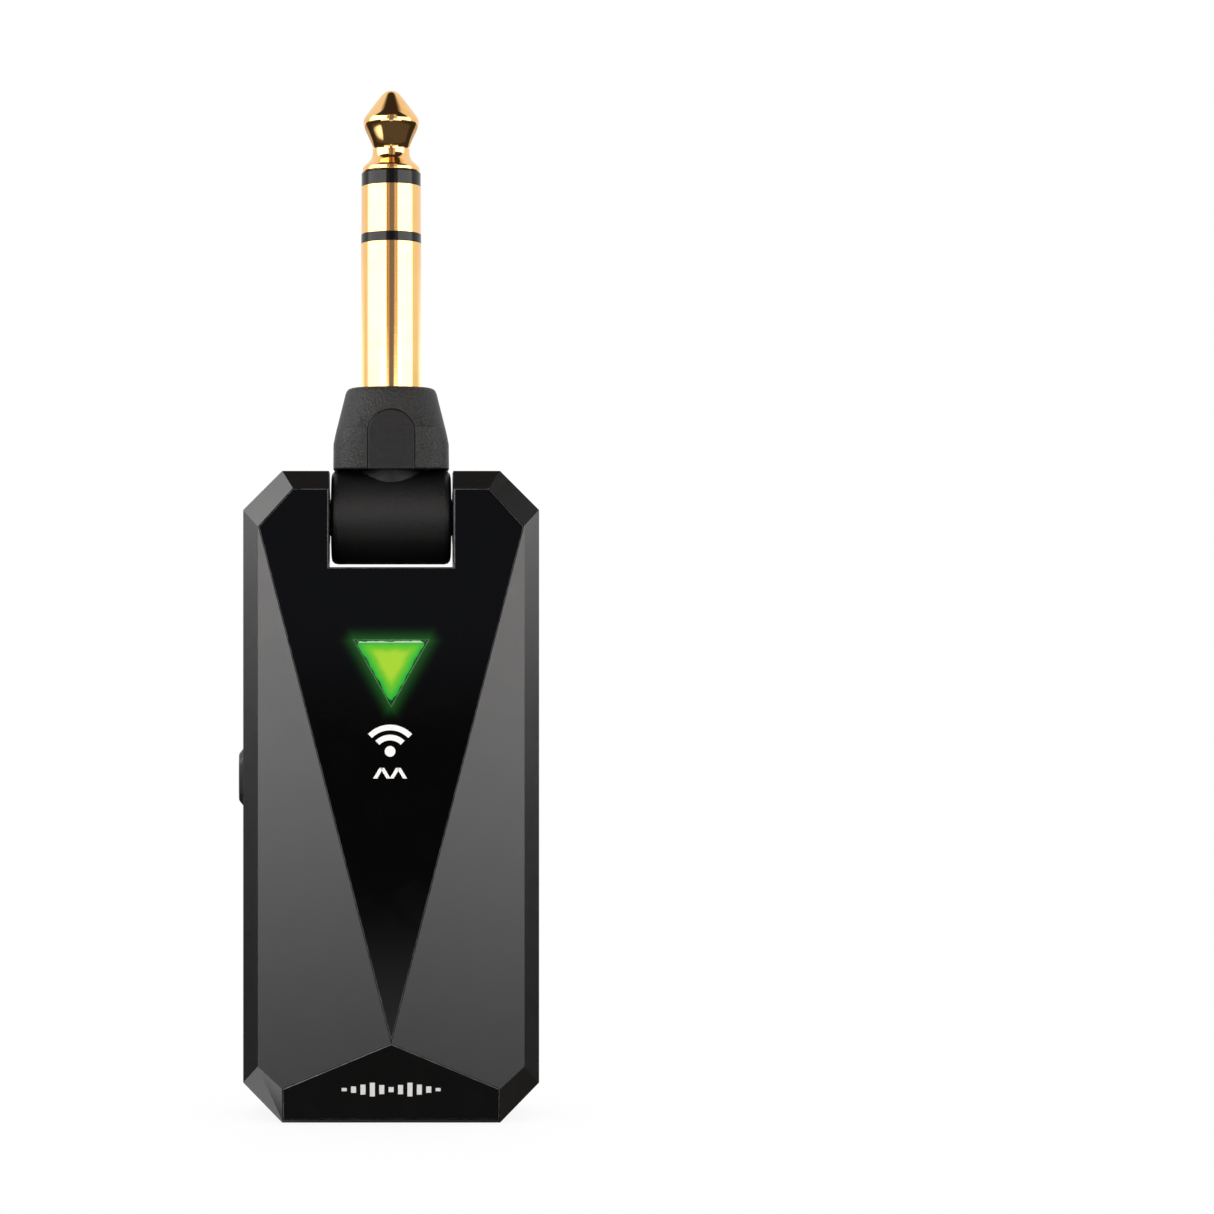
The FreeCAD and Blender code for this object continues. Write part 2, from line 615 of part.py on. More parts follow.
# Front shell: the faceted half with seats for the window and the tail plate, the notch's
# walls, half of each hinge seat, and bosses for the case screws and the board screws.
front_room = cut("front_room", front_hollow,
                 notch("front_notch_block", "notch_half", "notch_wall", "-20", "1"),
                 *bosses("front_boss", "boss_radius", "-20", "1"),
                 rod("post_right", "y", "post_radius", "-20", "-board_front", x="board_screw_half",
                     z="-board_screw_drop"),
                 rod("post_left", "y", "post_radius", "-20", "-board_front", x="-board_screw_half",
                     z="-board_screw_drop"))
front_shell = cut(
    "front_shell_piece", front_outer, front_room, window_seat, tail_seat,
    notch("front_notch", "notch_half", "0", "-20", "1"),
    rod("front_hinge_seat", "x", "bush_radius", "-notch_half - notch_wall - 0.1",
        "notch_half + notch_wall + 0.1", z="-hinge_drop"),
    button_slot("front_button_slot", "-button_wide_half - button_gap", "1"),
    usb_slot("front_usb_slot", "-usb_rise / 2 - usb_gap", "1"),
    *bosses("front_pilot", "screw_radius", "-pilot_depth", "1"),
    rod("pilot_right", "y", "board_shank", "-post_pilot_depth", "0", x="board_screw_half",
        z="-board_screw_drop"),
    rod("pilot_left", "y", "board_shank", "-post_pilot_depth", "0", x="-board_screw_half",
        z="-board_screw_drop"),
    solid_feature("lens_way", wedge(GAP, 3, 12)))
label(front_shell, "front_shell")

# Rear cover: flat back, bevelled all round, with a slightly wider notch and four
# sunk screw holes.
REAR_NOTCH_WALL = "(notch_half + notch_wall - notch_rear_half)"
rear_room = cut("rear_room", rear_hollow,
                notch("rear_notch_block", "notch_rear_half", REAR_NOTCH_WALL, "-1", "20"),
                *bosses("rear_boss", "rear_boss_radius", "-1", "20"))
rear_cover = cut(
    "rear_cover_piece", rear_outer, rear_room,
    notch("rear_notch", "notch_rear_half", "0", "-1", "20"),
    rod("rear_hinge_seat", "x", "bush_radius", "-notch_half - notch_wall - 0.1",
        "notch_half + notch_wall + 0.1", z="-hinge_drop"),
    button_slot("rear_button_slot", "-1", "button_wide_half + button_gap"),
    usb_slot("rear_usb_slot", "-1", "usb_rise / 2 + usb_gap"),
    *bosses("rear_way", "screw_radius + screw_gap", "-1", "20"),
    *bosses("rear_sink", "screw_head + screw_gap", "rear_depth - screw_head_deep - screw_sunk", "20"))
label(rear_cover, "rear_cover")

# The glossy front window is a V-shaped plate; the knuckle's notch and the lens pierce it.
window_plate = solid_feature("window_plate", inlay(FRONT, WINDOW_PLANE, GAP, dim("window_thick")))
front_window = cut(
    "window_piece", window_plate, notch("window_notch", "notch_half", "trim_gap", "-20", "1"),
    solid_feature("window_lens_way", wedge(GAP, 3, 12)))
label(front_window, "front_window")
label(solid_feature("tail_piece", inlay(FRONT, TAIL_PLANE, GAP, dim("tail_plate_thick"))),
      "tail_plate")

# The lens is flush with the window and glows from the baffle box behind it.
lens = wedge(0, 3, 12).common(FRONT.cut(faceted(front_planes(), dim("lens_thick"), -12)))
label(solid_feature("lens_piece", lens), "status_lens")
baffle_front = window_depth(-dim("lens_top") + 1) - WALL - 0.05
baffle = wedge(dim("guide_wall"), dim("board_front"), baffle_front)
baffle = baffle.cut(wedge(0, dim("board_front") - 1, 12))
label(solid_feature("baffle_piece", baffle), "light_baffle")

# ---------------------------------------------------------------- inside the case


def board_part(name, x_low, x_high, z_low, z_high, rise, front=True):
    """A small part soldered to the front or the rear face of the board."""
    if front:
        return box(name, x_low, x_high, f"-board_front - ({rise})", "-board_front", z_low, z_high)
    return box(name, x_low, x_high, "-board_front + board_thick",
               f"-board_front + board_thick + ({rise})", z_low, z_high)


board = new_body("board")
pad(board, "XZ_Plane", [
    ("-board_half", "-board_top"), ("-board_half", "-board_foot"),
    ("-board_tab_half", "-board_foot"), ("-board_tab_half", "-board_tab_foot"),
    ("board_tab_half", "-board_tab_foot"), ("board_tab_half", "-board_foot"),
    ("board_half", "-board_foot"), ("board_half", "-board_top")],
    "board_front - board_thick", "board_thick")
board_holes = [rod(f"hole{i}", "y", "board_hole", "-board_front - 1", "0", x=side + "board_screw_half",
                   z="-board_screw_drop") for i, side in enumerate(("", "-"))]
label(cut("board_piece", board, *board_holes), "main_board")

# A folded tin can over the radio part of the board.
shield = board_part("shield_can", "-shield_half", "shield_half", "-shield_foot", "-shield_top",
                    "shield_rise")
shield_room = board_part("shield_hollow", "-shield_half + 0.2", "shield_half - 0.2",
                         "-shield_foot + 0.2", "-shield_top - 0.2", "shield_rise - 0.2")
label(cut("shield_piece", shield, shield_room), "radio_shield")
label(board_part("radio", "-2.5", "2.5", "-48.5", "-43.5", "chip_rise"), "radio_chip")
label(board_part("aerial", "-11.5", "-6.5", "-27.0", "-25.6", "aerial_rise"), "chip_antenna")
label(group("chips", board_part("converter_chip", "-7.5", "-3.5", "-61", "-57", "chip_rise"),
            board_part("charger_chip", "2.5", "5.5", "-62", "-59", "charger_rise"),
            board_part("amplifier_chip", "6.5", "9.5", "-33", "-30", "chip_rise")), "circuit_chips")
CAPACITOR_PLACES = ((-9.5, -36), (-9.5, -38), (8.2, -45), (8.2, -47),
                    (-1.0, -58), (-1.0, -60), (7.5, -64), (-8.5, -65))
capacitors = [board_part(f"capacitor{i}", f"{x}", f"{x} + capacitor_length", f"{z}",
                         f"{z} + capacitor_width", "capacitor_width")
              for i, (x, z) in enumerate(CAPACITOR_PLACES)]
label(group("cans", *capacitors), "chip_capacitors")
diodes = [board_part(f"led{i}", f"{x} - led_half", f"{x} + led_half", "-led_foot", "-led_top", "led_rise")
          for i, x in enumerate((-1.6, 0, 1.6))]
label(group("leds", *diodes), "status_leds")

# Lithium cell on a foam pad behind the board, with its leads in a two-way plug.
cell = new_body("cell")
cell_pad = pad(cell, "XZ_Plane", [
    ("-battery_half", "-battery_foot"), ("battery_half", "-battery_foot"),
    ("battery_half", "-battery_top"), ("-battery_half", "-battery_top")],
    "board_front - board_thick - pad_thick - battery_thick", "battery_thick")
doc.recompute()
upright = [f"Edge{i}" for i, edge in enumerate(cell_pad.Shape.Edges, start=1)
           if abs(edge.tangentAt(edge.FirstParameter).z) > 0.99]
rounding = cell.newObject("PartDesign::Fillet", "cell_rounding")
rounding.Base = (cell_pad, upright)
rounding.setExpression("Radius", bound("cell_rounding"))
label(cell, "battery")
label(board_part("foam", "-battery_half + 1", "battery_half - 1", "-battery_foot + 1",
                 "-battery_top - 1", "pad_thick", front=False), "battery_pad")
label(board_part("battery_plug", "-9.6", "-6.4", "-plug_foot", "-plug_top", "plug_rise", front=False),
      "battery_connector")
leads = [rod(f"lead{i}", "z", "lead_radius", "-battery_top", "-plug_foot", x=x, y="-lead_depth")
         for i, x in enumerate(("-8.6", "-7.4"))]
label(group("leads", *leads), "battery_leads")


def cable(name, points, bend, radius):
    """A round cable along straight runs, with one arc where the second run turns off."""
    start, corner, end = points
    before = corner + (start - corner).normalize() * bend
    after = corner + (end - corner).normalize() * bend
    centre = before + (end - corner).normalize() * bend
    middle = centre + (corner - centre).normalize() * bend
    path = Part.Wire([Part.LineSegment(start, before).toShape(),
                      Part.Arc(before, middle, after).toShape(),
                      Part.LineSegment(after, end).toShape()])
    section = Part.Wire(Part.Circle(start, (corner - start).normalize(), radius).toShape())
    return solid_feature(name, path.makePipeShell([section], True, False))


# The screened cable runs from the plug's tags into the hinge tube, and out of its end to
# the board; it is split at the end of the tube, where the two stretches turn on one axis.
AXLE = -dim("hinge_drop")
TUBE_END = dim("tube_half")
CABLE = dim("cable_radius")
LANE = dim("lead_lane")
inner_run = (Vector(0, 0, -dim("cable_top")), Vector(0, 0, AXLE), Vector(TUBE_END, 0, AXLE))
outer_run = (Vector(TUBE_END + dim("lead_gap"), 0, AXLE), Vector(LANE, 0, AXLE),
             Vector(LANE, 0, -dim("lead_foot")))
label(cable("inner_cable", inner_run, dim("cable_bend"), CABLE), "plug_cable")
label(cable("outer_cable", outer_run, dim("lead_bend"), CABLE), "board_cable")
label(board_part("cable_socket", "10.3", "board_half", "-socket_foot", "-lead_foot", "socket_rise",
                 front=False),
      "cable_connector")

# USB-C socket: a drawn steel shell round a plastic tongue, its mouth in the case's foot.
usb_foot = "-case_top - case_length + usb_inset"
usb_bar = new_body("usb_bar")
pad(usb_bar, "XY_Plane", [
    ("-usb_half", "0", "usb_rise / 2"), ("-usb_half + usb_rise / 2", "-usb_rise / 2"),
    ("usb_half - usb_rise / 2", "-usb_rise / 2", "usb_rise / 2"), ("usb_half", "0", "usb_rise / 2"),
    ("usb_half - usb_rise / 2", "usb_rise / 2"),
    ("-usb_half + usb_rise / 2", "usb_rise / 2", "usb_rise / 2")],
    usb_foot, "usb_length")
usb_mouth = new_body("usb_mouth")
inner_half = "(usb_half - usb_shell)"
inner_rise = "(usb_rise / 2 - usb_shell)"
pad(usb_mouth, "XY_Plane", [
    (f"-{inner_half}", "0", inner_rise), (f"-{inner_half} + {inner_rise}", f"-{inner_rise}"),
    (f"{inner_half} - {inner_rise}", f"-{inner_rise}", inner_rise), (inner_half, "0", inner_rise),
    (f"{inner_half} - {inner_rise}", inner_rise), (f"-{inner_half} + {inner_rise}", inner_rise, inner_rise)],
    usb_foot, "usb_length - usb_floor")
label(cut("usb_shell_piece", usb_bar, usb_mouth), "usb_socket")
label(box("usb_blade", "-blade_half", "blade_half", "-blade_thick_half", "blade_thick_half",
          usb_foot + " + usb_floor", usb_foot + " + usb_length - usb_floor"),
      "usb_tongue")

# ---------------------------------------------------------------- power button

FLANGE_FACE = "-case_half + case_wall + wall_gap"
cap = new_body("cap")
pad(cap, "YZ_Plane", [
    ("-button_wide_half", "-button_drop - button_half + button_wide_half"),
    ("-button_wide_half + button_round", "-button_drop - button_half + button_flat"),
    ("0", "-button_drop - button_half"),
    ("button_wide_half - button_round", "-button_drop - button_half + button_flat"),
    ("button_wide_half", "-button_drop - button_half + button_wide_half"),
    ("button_wide_half", "-button_drop + button_half - button_wide_half"),
    ("button_wide_half - button_round", "-button_drop + button_half - button_flat"),
    ("0", "-button_drop + button_half"),
    ("-button_wide_half + button_round", "-button_drop + button_half - button_flat"),
    ("-button_wide_half", "-button_drop + button_half - button_wide_half")],
    "-case_half - button_proud", f"({FLANGE_FACE}) + case_half + button_proud")
cap_flange = box("cap_flange", FLANGE_FACE, FLANGE_FACE + " + button_flange_thick",
                 "-button_wide_half - button_flange", "button_wide_half + button_flange",
                 "-button_drop - button_half - button_flange", "-button_drop + button_half + button_flange")
label(fuse("button_piece", cap, cap_flange), "power_button")

# The switch is soldered at the board's edge; its plunger follows the button.
PLUNGER_FACE = FLANGE_FACE + " + button_flange_thick"
SWITCH_FACE = PLUNGER_FACE + " + plunger_bare"
label(box("plunger", PLUNGER_FACE, SWITCH_FACE + " + plunger_hidden", "-plunger_half", "plunger_half",
          "-button_drop - plunger_half", "-button_drop + plunger_half"), "switch_plunger")
switch_block = box("switch_block", SWITCH_FACE, SWITCH_FACE + " + switch_deep",
                   "-board_front + board_thick", "switch_rear", "-button_drop - switch_half",
                   "-button_drop + switch_half")
switch_well = box("switch_room", SWITCH_FACE + " - 1", SWITCH_FACE + " + switch_well",
                  "-plunger_half - plunger_gap", "plunger_half + plunger_gap",
                  "-button_drop - plunger_half - plunger_gap", "-button_drop + plunger_half + plunger_gap")
label(cut("switch_piece", switch_block, switch_well), "side_switch")

# ---------------------------------------------------------------- fasteners


def screw(name, x, z, face, shank, head, head_deep, length):
    """A pan-head screw along Y, its head towards +Y, with a cross recess."""
    top = f"({face}) + {head_deep}"
    body = fuse(name + "_blank", rod(name + "_head", "y", head, face, top, x=x, z=z),
                rod(name + "_shank", "y", shank, f"({face}) - ({length})", face, x=x, z=z))
    arm = f"({head}) * 0.6"
    slots = [box(f"{name}_slot{i}", f"{x} - {across}", f"{x} + {across}", f"{top} - recess_deep",
                 f"{top} + 1", f"{z} - {up}", f"{z} + {up}")
             for i, (across, up) in enumerate(((arm, "recess_half"), ("recess_half", arm)))]
    return cut(name, body, *slots)


case_screws = [
    screw(f"case_screw{i}", side + half, "-" + drop, "rear_depth - screw_head_deep - screw_sunk",
          "screw_radius", "screw_head", "screw_head_deep", "rear_depth + screw_grip")
    for i, (side, half, drop) in enumerate((
        ("", "top_boss_half", "top_boss_drop"), ("-", "top_boss_half", "top_boss_drop"),
        ("", "foot_boss_half", "foot_boss_drop"), ("-", "foot_boss_half", "foot_boss_drop")))]
label(group("case_screw_set", *case_screws), "case_screws")
board_screws = [
    screw(f"board_screw{i}", side + "board_screw_half", "-board_screw_drop",
          "-board_front + board_thick", "board_shank", "board_head", "board_head_deep",
          "board_thick + board_grip")
    for i, side in enumerate(("", "-"))]
label(group("board_screw_set", *board_screws), "board_screws")

# ---------------------------------------------------------------- check and write

doc.recompute()
for item in doc.Objects:
    if "Invalid" in item.State or "Error" in item.State:
        raise RuntimeError(f"{item.Name} did not compute: {item.State}")
for sub_part in NODES:
    if sub_part.Shape.isNull() or not sub_part.Shape.isValid() or not sub_part.Shape.Solids:
        raise RuntimeError(f"{sub_part.Label} has no valid solid")

os.makedirs("parts", exist_ok=True)
for sub_part in NODES:
    sub_part.Shape.exportStep(f"parts/{sub_part.Label}.step")
    print(f"{sub_part.Label}: {len(sub_part.Shape.Solids)} solids, {sub_part.Shape.Volume:.2f} mm3")
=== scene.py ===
import math

import bmesh
import bpy
from mathutils import Matrix


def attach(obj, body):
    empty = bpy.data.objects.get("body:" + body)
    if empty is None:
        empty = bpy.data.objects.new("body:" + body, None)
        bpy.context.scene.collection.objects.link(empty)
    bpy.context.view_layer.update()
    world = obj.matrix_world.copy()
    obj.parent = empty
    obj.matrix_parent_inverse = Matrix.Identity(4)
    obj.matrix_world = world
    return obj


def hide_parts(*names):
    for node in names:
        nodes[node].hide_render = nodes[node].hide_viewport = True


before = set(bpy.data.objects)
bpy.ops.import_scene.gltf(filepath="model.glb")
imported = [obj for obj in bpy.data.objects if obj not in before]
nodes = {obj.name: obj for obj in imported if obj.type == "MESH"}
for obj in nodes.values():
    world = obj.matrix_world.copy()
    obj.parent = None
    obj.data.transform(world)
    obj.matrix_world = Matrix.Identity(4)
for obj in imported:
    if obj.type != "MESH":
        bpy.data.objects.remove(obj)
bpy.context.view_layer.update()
MM = 0.001

# ------------------------------------------------------------------ plug tip
# The tip is the hot contact: a nose, a waist that the jack's spring drops into, and a
# collar, turned from one brass bar with the thin rod that runs down to the solder tags.
# It is polished, then plated with nickel and a flash of gold.


def turned(outline, steps=128):
    """A solid turned about Z; outline holds (radius, height) in mm, open only on the axis."""
    bm = bmesh.new()
    corners = [bm.verts.new((radius * MM, 0, height * MM)) for radius, height in outline]
    sides = [bm.edges.new(pair) for pair in zip(corners, corners[1:])]
    if outline[0][0] > 0 or outline[-1][0] > 0:
        sides.append(bm.edges.new((corners[-1], corners[0])))
    bmesh.ops.spin(bm, geom=corners + sides, cent=(0, 0, 0), axis=(0, 0, 1),
                   angle=math.tau, steps=steps, use_merge=True)
    bmesh.ops.remove_doubles(bm, verts=bm.verts, dist=1e-7)
    bmesh.ops.recalc_face_normals(bm, faces=bm.faces)
    return bm


def sharp_edges(bm, degrees):
    """Convex or hollow edges whose faces turn by more than an angle."""
    return [edge for edge in bm.edges if edge.is_manifold
            and abs(edge.calc_face_angle_signed(0)) > math.radians(degrees)]


def soften(bm, edges, width, segments=2):
    """A small round along edges."""
    bmesh.ops.bevel(bm, geom=edges, offset=width * MM, offset_type="OFFSET", segments=segments,
                    profile=0.5, affect="EDGES", clamp_overlap=True, material=-1)


def settle(name, bm, body, material, slot, *replaced, crisp=11, flat=False):
    """Makes the piece from its mesh, paints it and fixes it to its body.

    A flat piece keeps its broad faces flat, and only the rounds between them are shaded.
    """
    for face in bm.faces:
        face.smooth = True
    for edge in bm.edges:
        edge.smooth = not edge.is_manifold or edge.calc_face_angle(0) < math.radians(crisp)
    mesh = bpy.data.meshes.new(name)
    bm.to_mesh(mesh)
    bm.free()
    mesh.materials.append(material)
    piece = bpy.data.objects.new(name, mesh)
    bpy.context.scene.collection.objects.link(piece)
    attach(piece, body)
    if replaced:
        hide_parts(*replaced)
    if flat:
        even = piece.modifiers.new("flat", "WEIGHTED_NORMAL")
        even.keep_sharp = True
        even.weight = 100
    return piece


def node(tree, kind, inputs=(), **settings):
    """A shader node; each input is a number, a colour or another node's output."""
    made = tree.nodes.new("ShaderNode" + kind)
    for key, value in settings.items():
        setattr(made, key, value)
    for key, value in dict(inputs).items():
        if isinstance(value, bpy.types.NodeSocket):
            tree.links.new(value, made.inputs[key])
        else:
            made.inputs[key].default_value = value
    return made


def math_of(tree, operation, first, second=0.0, clamp=False):
    return node(tree, "Math", {0: first, 1: second}, operation=operation, use_clamp=clamp).outputs[0]


def between(tree, value, low, high, to_low=0.0, to_high=1.0, smooth=True):
    """Maps a value's range on another range, and clamps it."""
    return node(tree, "MapRange", {"Value": value, "From Min": low, "From Max": high,
                                   "To Min": to_low, "To Max": to_high},
                interpolation_type="SMOOTHSTEP" if smooth else "LINEAR").outputs["Result"]


def mixed(tree, share, first, second):
    """A colour between two colours."""
    made = node(tree, "Mix", {0: share}, data_type="RGBA")
    for socket, value in ((made.inputs[6], first), (made.inputs[7], second)):
        if isinstance(value, bpy.types.NodeSocket):
            tree.links.new(value, socket)
        else:
            socket.default_value = (*value, 1)
    return made.outputs[2]


def place_in(tree):
    """Where a point of the surface is on the object, in metres."""
    return node(tree, "TexCoord").outputs["Object"]


def in_millimetres(tree, place):
    return node(tree, "VectorMath", {0: place, "Scale": 1000.0}, operation="SCALE").outputs[0]


def effect(name, inputs, outputs):
    """An empty node group with named number sockets, and its object coordinates."""
    tree = bpy.data.node_groups.new(name, "ShaderNodeTree")
    for label, value in inputs:
        socket = tree.interface.new_socket(label, in_out="INPUT", socket_type="NodeSocketFloat")
        socket.default_value = value
    for label in outputs:
        tree.interface.new_socket(label, in_out="OUTPUT", socket_type="NodeSocketFloat")
    start = tree.nodes.new("NodeGroupInput")
    end = tree.nodes.new("NodeGroupOutput")
    return tree, start.outputs, end.inputs, place_in(tree)


def placed(tree, group, **values):
    """An effect in a material, with its own values."""
    made = tree.nodes.new("ShaderNodeGroup")
    made.node_tree = group
    for label, value in values.items():
        made.inputs[label.replace("_", " ")].default_value = value
    return made.outputs


def material_of(name, roughness, metallic=0.0, specular=0.5):
    """A material with its shader; the patterns are joined on afterwards."""
    material = bpy.data.materials.new(name)
    material.use_nodes = True
    shader = material.node_tree.nodes["Principled BSDF"]
    shader.inputs["Roughness"].default_value = roughness
    shader.inputs["Metallic"].default_value = metallic
    shader.inputs["Specular IOR Level"].default_value = specular
    return material, material.node_tree, shader.inputs


def bump(tree, shader, height, strength, distance):
    made = node(tree, "Bump", {"Height": height, "Strength": strength, "Distance": distance})
    tree.links.new(made.outputs["Normal"], shader["Normal"])


# Fine rings left by the lathe tool, in step with the height along the plug.
lathe, given, out, place = effect("lathe_rings", [("Rings per mm", 18.0)], ["Height", "Wear"])
parts = node(lathe, "SeparateXYZ", {0: place}).outputs
rise = math_of(lathe, "MULTIPLY", parts["Z"], 1000.0)
rise = math_of(lathe, "MULTIPLY", rise, given["Rings per mm"])
ring_place = node(lathe, "CombineXYZ", {"X": math_of(lathe, "MULTIPLY", parts["X"], 60.0),
                                        "Y": math_of(lathe, "MULTIPLY", parts["Y"], 60.0), "Z": rise})
rings = node(lathe, "TexNoise", {"Vector": ring_place.outputs[0], "Scale": 1.0, "Detail": 3.0})
patches = node(lathe, "TexNoise", {"Vector": place, "Scale": 420.0, "Detail": 4.0})
lathe.links.new(rings.outputs["Fac"], out["Height"])
lathe.links.new(patches.outputs["Fac"], out["Wear"])


def plated(name, colour, deep, roughness, rings_per_mm=18.0):
    """Polished plating over turned metal, a little deeper in colour where it is worn."""
    material, tree, shader = material_of(name, roughness, metallic=1.0)
    marks = placed(tree, lathe, Rings_per_mm=rings_per_mm)
    wear = between(tree, marks["Wear"], 0.40, 0.68)
    tree.links.new(mixed(tree, wear, colour, deep), shader["Base Color"])
    tree.links.new(between(tree, marks["Wear"], 0.3, 0.75, roughness * 0.9, roughness * 1.2),
                   shader["Roughness"])
    bump(tree, shader, marks["Height"], 0.05, 0.00002)
    return material


gold = plated("gold_plating", (1.0, 0.62, 0.25), (0.95, 0.52, 0.18), 0.09)
rod_radius = 0.9
tip_foot = 22.7
bm = turned([
    (0, -8.4), (rod_radius, -8.4), (rod_radius, tip_foot), (2.99, tip_foot), (3.02, 22.78), (3.03, 23.1),
    (3.0, 23.3),
    (2.84, 23.5), (2.55, 23.76), (2.27, 24.02), (2.06, 24.35), (1.94, 24.75), (1.93, 25.15), (1.97, 25.5),
    (2.12, 25.98), (2.36, 26.5), (2.6, 27.0), (2.79, 27.38), (2.91, 27.75), (2.95, 28.1), (2.9, 28.4),
    (2.74, 28.72), (2.2, 29.44), (1.6, 30.22), (1.05, 30.92), (0.85, 31.14), (0.6, 31.34), (0.3, 31.46),
    (0, 31.5)], steps=96)
tip = settle("tip", bm, "plug_arm", gold, "gold_plate", "plug_tip", crisp=50)
smoothing = tip.modifiers.new("smoothing", "SUBSURF")
smoothing.levels = smoothing.render_levels = 1

# ------------------------------------------------------------------ insulators
# Two glossy black rings part the tip, ring and sleeve contacts. Each is a washer on a long
# tube that lines the contact below it, moulded in hard plastic and pressed on the stack.
handling, given, out, place = effect("handling_marks", [("Marks per mm", 0.25)], ["Smudge", "Dust"])
in_mm = in_millimetres(handling, place)
smears = node(handling, "TexNoise", {"Vector": in_mm, "Scale": given["Marks per mm"], "Detail": 5.0,
                                     "Distortion": 1.2})
specks = node(handling, "TexVoronoi", {"Vector": in_mm, "Scale": 1.6, "Randomness": 1.0})
handling.links.new(between(handling, smears.outputs["Fac"], 0.42, 0.68), out["Smudge"])
handling.links.new(between(handling, specks.outputs["Distance"], 0.05, 0.025), out["Dust"])

# Bevelled faces carry the edge mark, and this mask lightens them: partly real wear, partly a painted
# highlight along the rounded edges.
edge_wear_and_highlight, given, out, place = effect("edge_wear_and_highlight", [("Marks per mm", 1.5)], ["Wear"])
in_mm = in_millimetres(edge_wear_and_highlight, place)
marked = node(edge_wear_and_highlight, "Attribute", attribute_name="edge").outputs["Fac"]
rubbed = node(edge_wear_and_highlight, "TexNoise", {"Vector": in_mm, "Scale": given["Marks per mm"], "Detail": 4.0})
edge_wear_and_highlight.links.new(math_of(edge_wear_and_highlight, "MULTIPLY", marked,
                            between(edge_wear_and_highlight, rubbed.outputs["Fac"], 0.25, 0.75, 0.35, 1.0)), out["Wear"])


worn_and_highlight_grey = (0.30, 0.30, 0.30)


def glossy(name, colour, roughness, specular=0.5, smear=0.04, wave=0.02, edge=0.0):
    """Hard gloss plastic with faint smears, a little dust, a slightly uneven surface, and greyer edges that
    are partly wear and partly a painted highlight.
    """
    material, tree, shader = material_of(name, roughness, specular=specular)
    marks = placed(tree, handling)
    rub_and_highlight = math_of(tree, "MULTIPLY", placed(tree, edge_wear_and_highlight)["Wear"], edge)
    pale = tuple(min(1.0, c + 0.06) for c in colour)
    base = mixed(tree, rub_and_highlight, colour, worn_and_highlight_grey)
    dusty = math_of(tree, "MULTIPLY", marks["Dust"], 0.25)
    tree.links.new(mixed(tree, dusty, base, pale), shader["Base Color"])
    tree.links.new(between(tree, marks["Smudge"], 0.0, 1.0, roughness, roughness + smear),
                   shader["Roughness"])
    place = place_in(tree)
    waves = node(tree, "TexNoise", {"Vector": place, "Scale": 260.0, "Detail": 2.0})
    bump(tree, shader, waves.outputs["Fac"], wave, 0.0001)
    return material


insulator = glossy("insulator_gloss", (0.003, 0.003, 0.003), 0.11, specular=0.3)
plug_radius = 3.175
upper_tube = 1.3  # outer radii of the tubes, from the middle outwards
ring_tube = 1.9
lower_tube = 2.3
upper_foot = 21.3
ring_foot = 16.25
lower_foot = 15.3
turned_round = 0.03
bm = turned([
    (rod_radius, -7.8), (upper_tube, -7.8), (upper_tube, upper_foot), (3.13, upper_foot), (3.13, tip_foot),
    (rod_radius, tip_foot)])
soften(bm, sharp_edges(bm, 30), turned_round)
settle("upper_insulator", bm, "plug_arm", insulator, "black_insulator", "tip_insulator")
bm = turned([
    (ring_tube, -6.8), (lower_tube, -6.8), (lower_tube, lower_foot), (plug_radius, lower_foot),
    (plug_radius, ring_foot), (ring_tube, ring_foot)])
soften(bm, sharp_edges(bm, 30), turned_round)
settle("lower_insulator", bm, "plug_arm", insulator, "black_insulator", "ring_insulator")

# ------------------------------------------------------------------ ring and sleeve
# The ring contact and the long sleeve are turned from brass and gold plated like the tip.
# The sleeve's seat and flange are trapped between the boot and the knuckle's neck.
sleeve_gold = plated("sleeve_gold_plating", (1.0, 0.61, 0.245), (0.99, 0.585, 0.225), 0.07, 14.0)
bm = turned([
    (upper_tube, -7.2), (ring_tube, -7.2), (ring_tube, ring_foot), (3.15, ring_foot), (3.15, upper_foot),
    (upper_tube, upper_foot)])
soften(bm, sharp_edges(bm, 30), turned_round)
settle("ring_band", bm, "plug_arm", sleeve_gold, "gold_plate", "ring_contact")
bm = turned([
    (lower_tube, -5.2), (2.8, -5.2), (2.8, -2.0), (3.9, -2.0), (3.9, -1.0), (3.5, -1.0), (3.5, 0),
    (plug_radius, 0), (plug_radius, lower_foot), (lower_tube, lower_foot)])
soften(bm, sharp_edges(bm, 30), turned_round)
settle("sleeve_barrel", bm, "plug_arm", sleeve_gold, "gold_plate", "plug_sleeve")

# ------------------------------------------------------------------ solder tags
# Three small washers with lugs take the cable's cores at the plug's tail. They are stamped
# from brass sheet and tinned, so they look dull and slightly mottled.


def dress(material, *names):
    """Paints CAD pieces that keep their shape."""
    for name in names:
        mesh = nodes[name].data
        mesh.materials.clear()
        mesh.materials.append(material)


def tinned(name, colour, roughness):
    """Tin over sheet metal: cloudy patches and fine rolling lines."""
    material, tree, shader = material_of(name, roughness, metallic=1.0)
    place = place_in(tree)
    clouds = node(tree, "TexNoise", {"Vector": place, "Scale": 900.0, "Detail": 6.0}).outputs["Fac"]
    dull = tuple(c * 0.72 for c in colour)
    tree.links.new(mixed(tree, between(tree, clouds, 0.35, 0.65), colour, dull), shader["Base Color"])
    tree.links.new(between(tree, clouds, 0.3, 0.7, roughness * 0.8, roughness * 1.3), shader["Roughness"])
    stretch = node(tree, "Mapping", {"Vector": place, "Scale": (900, 14000, 900)})
    lines = node(tree, "TexNoise", {"Vector": stretch.outputs[0], "Scale": 1.0, "Detail": 3.0})
    bump(tree, shader, lines.outputs["Fac"], 0.15, 0.00002)
    return material


dress(tinned("tinned_brass", (0.66, 0.64, 0.60), 0.38), "solder_tags")

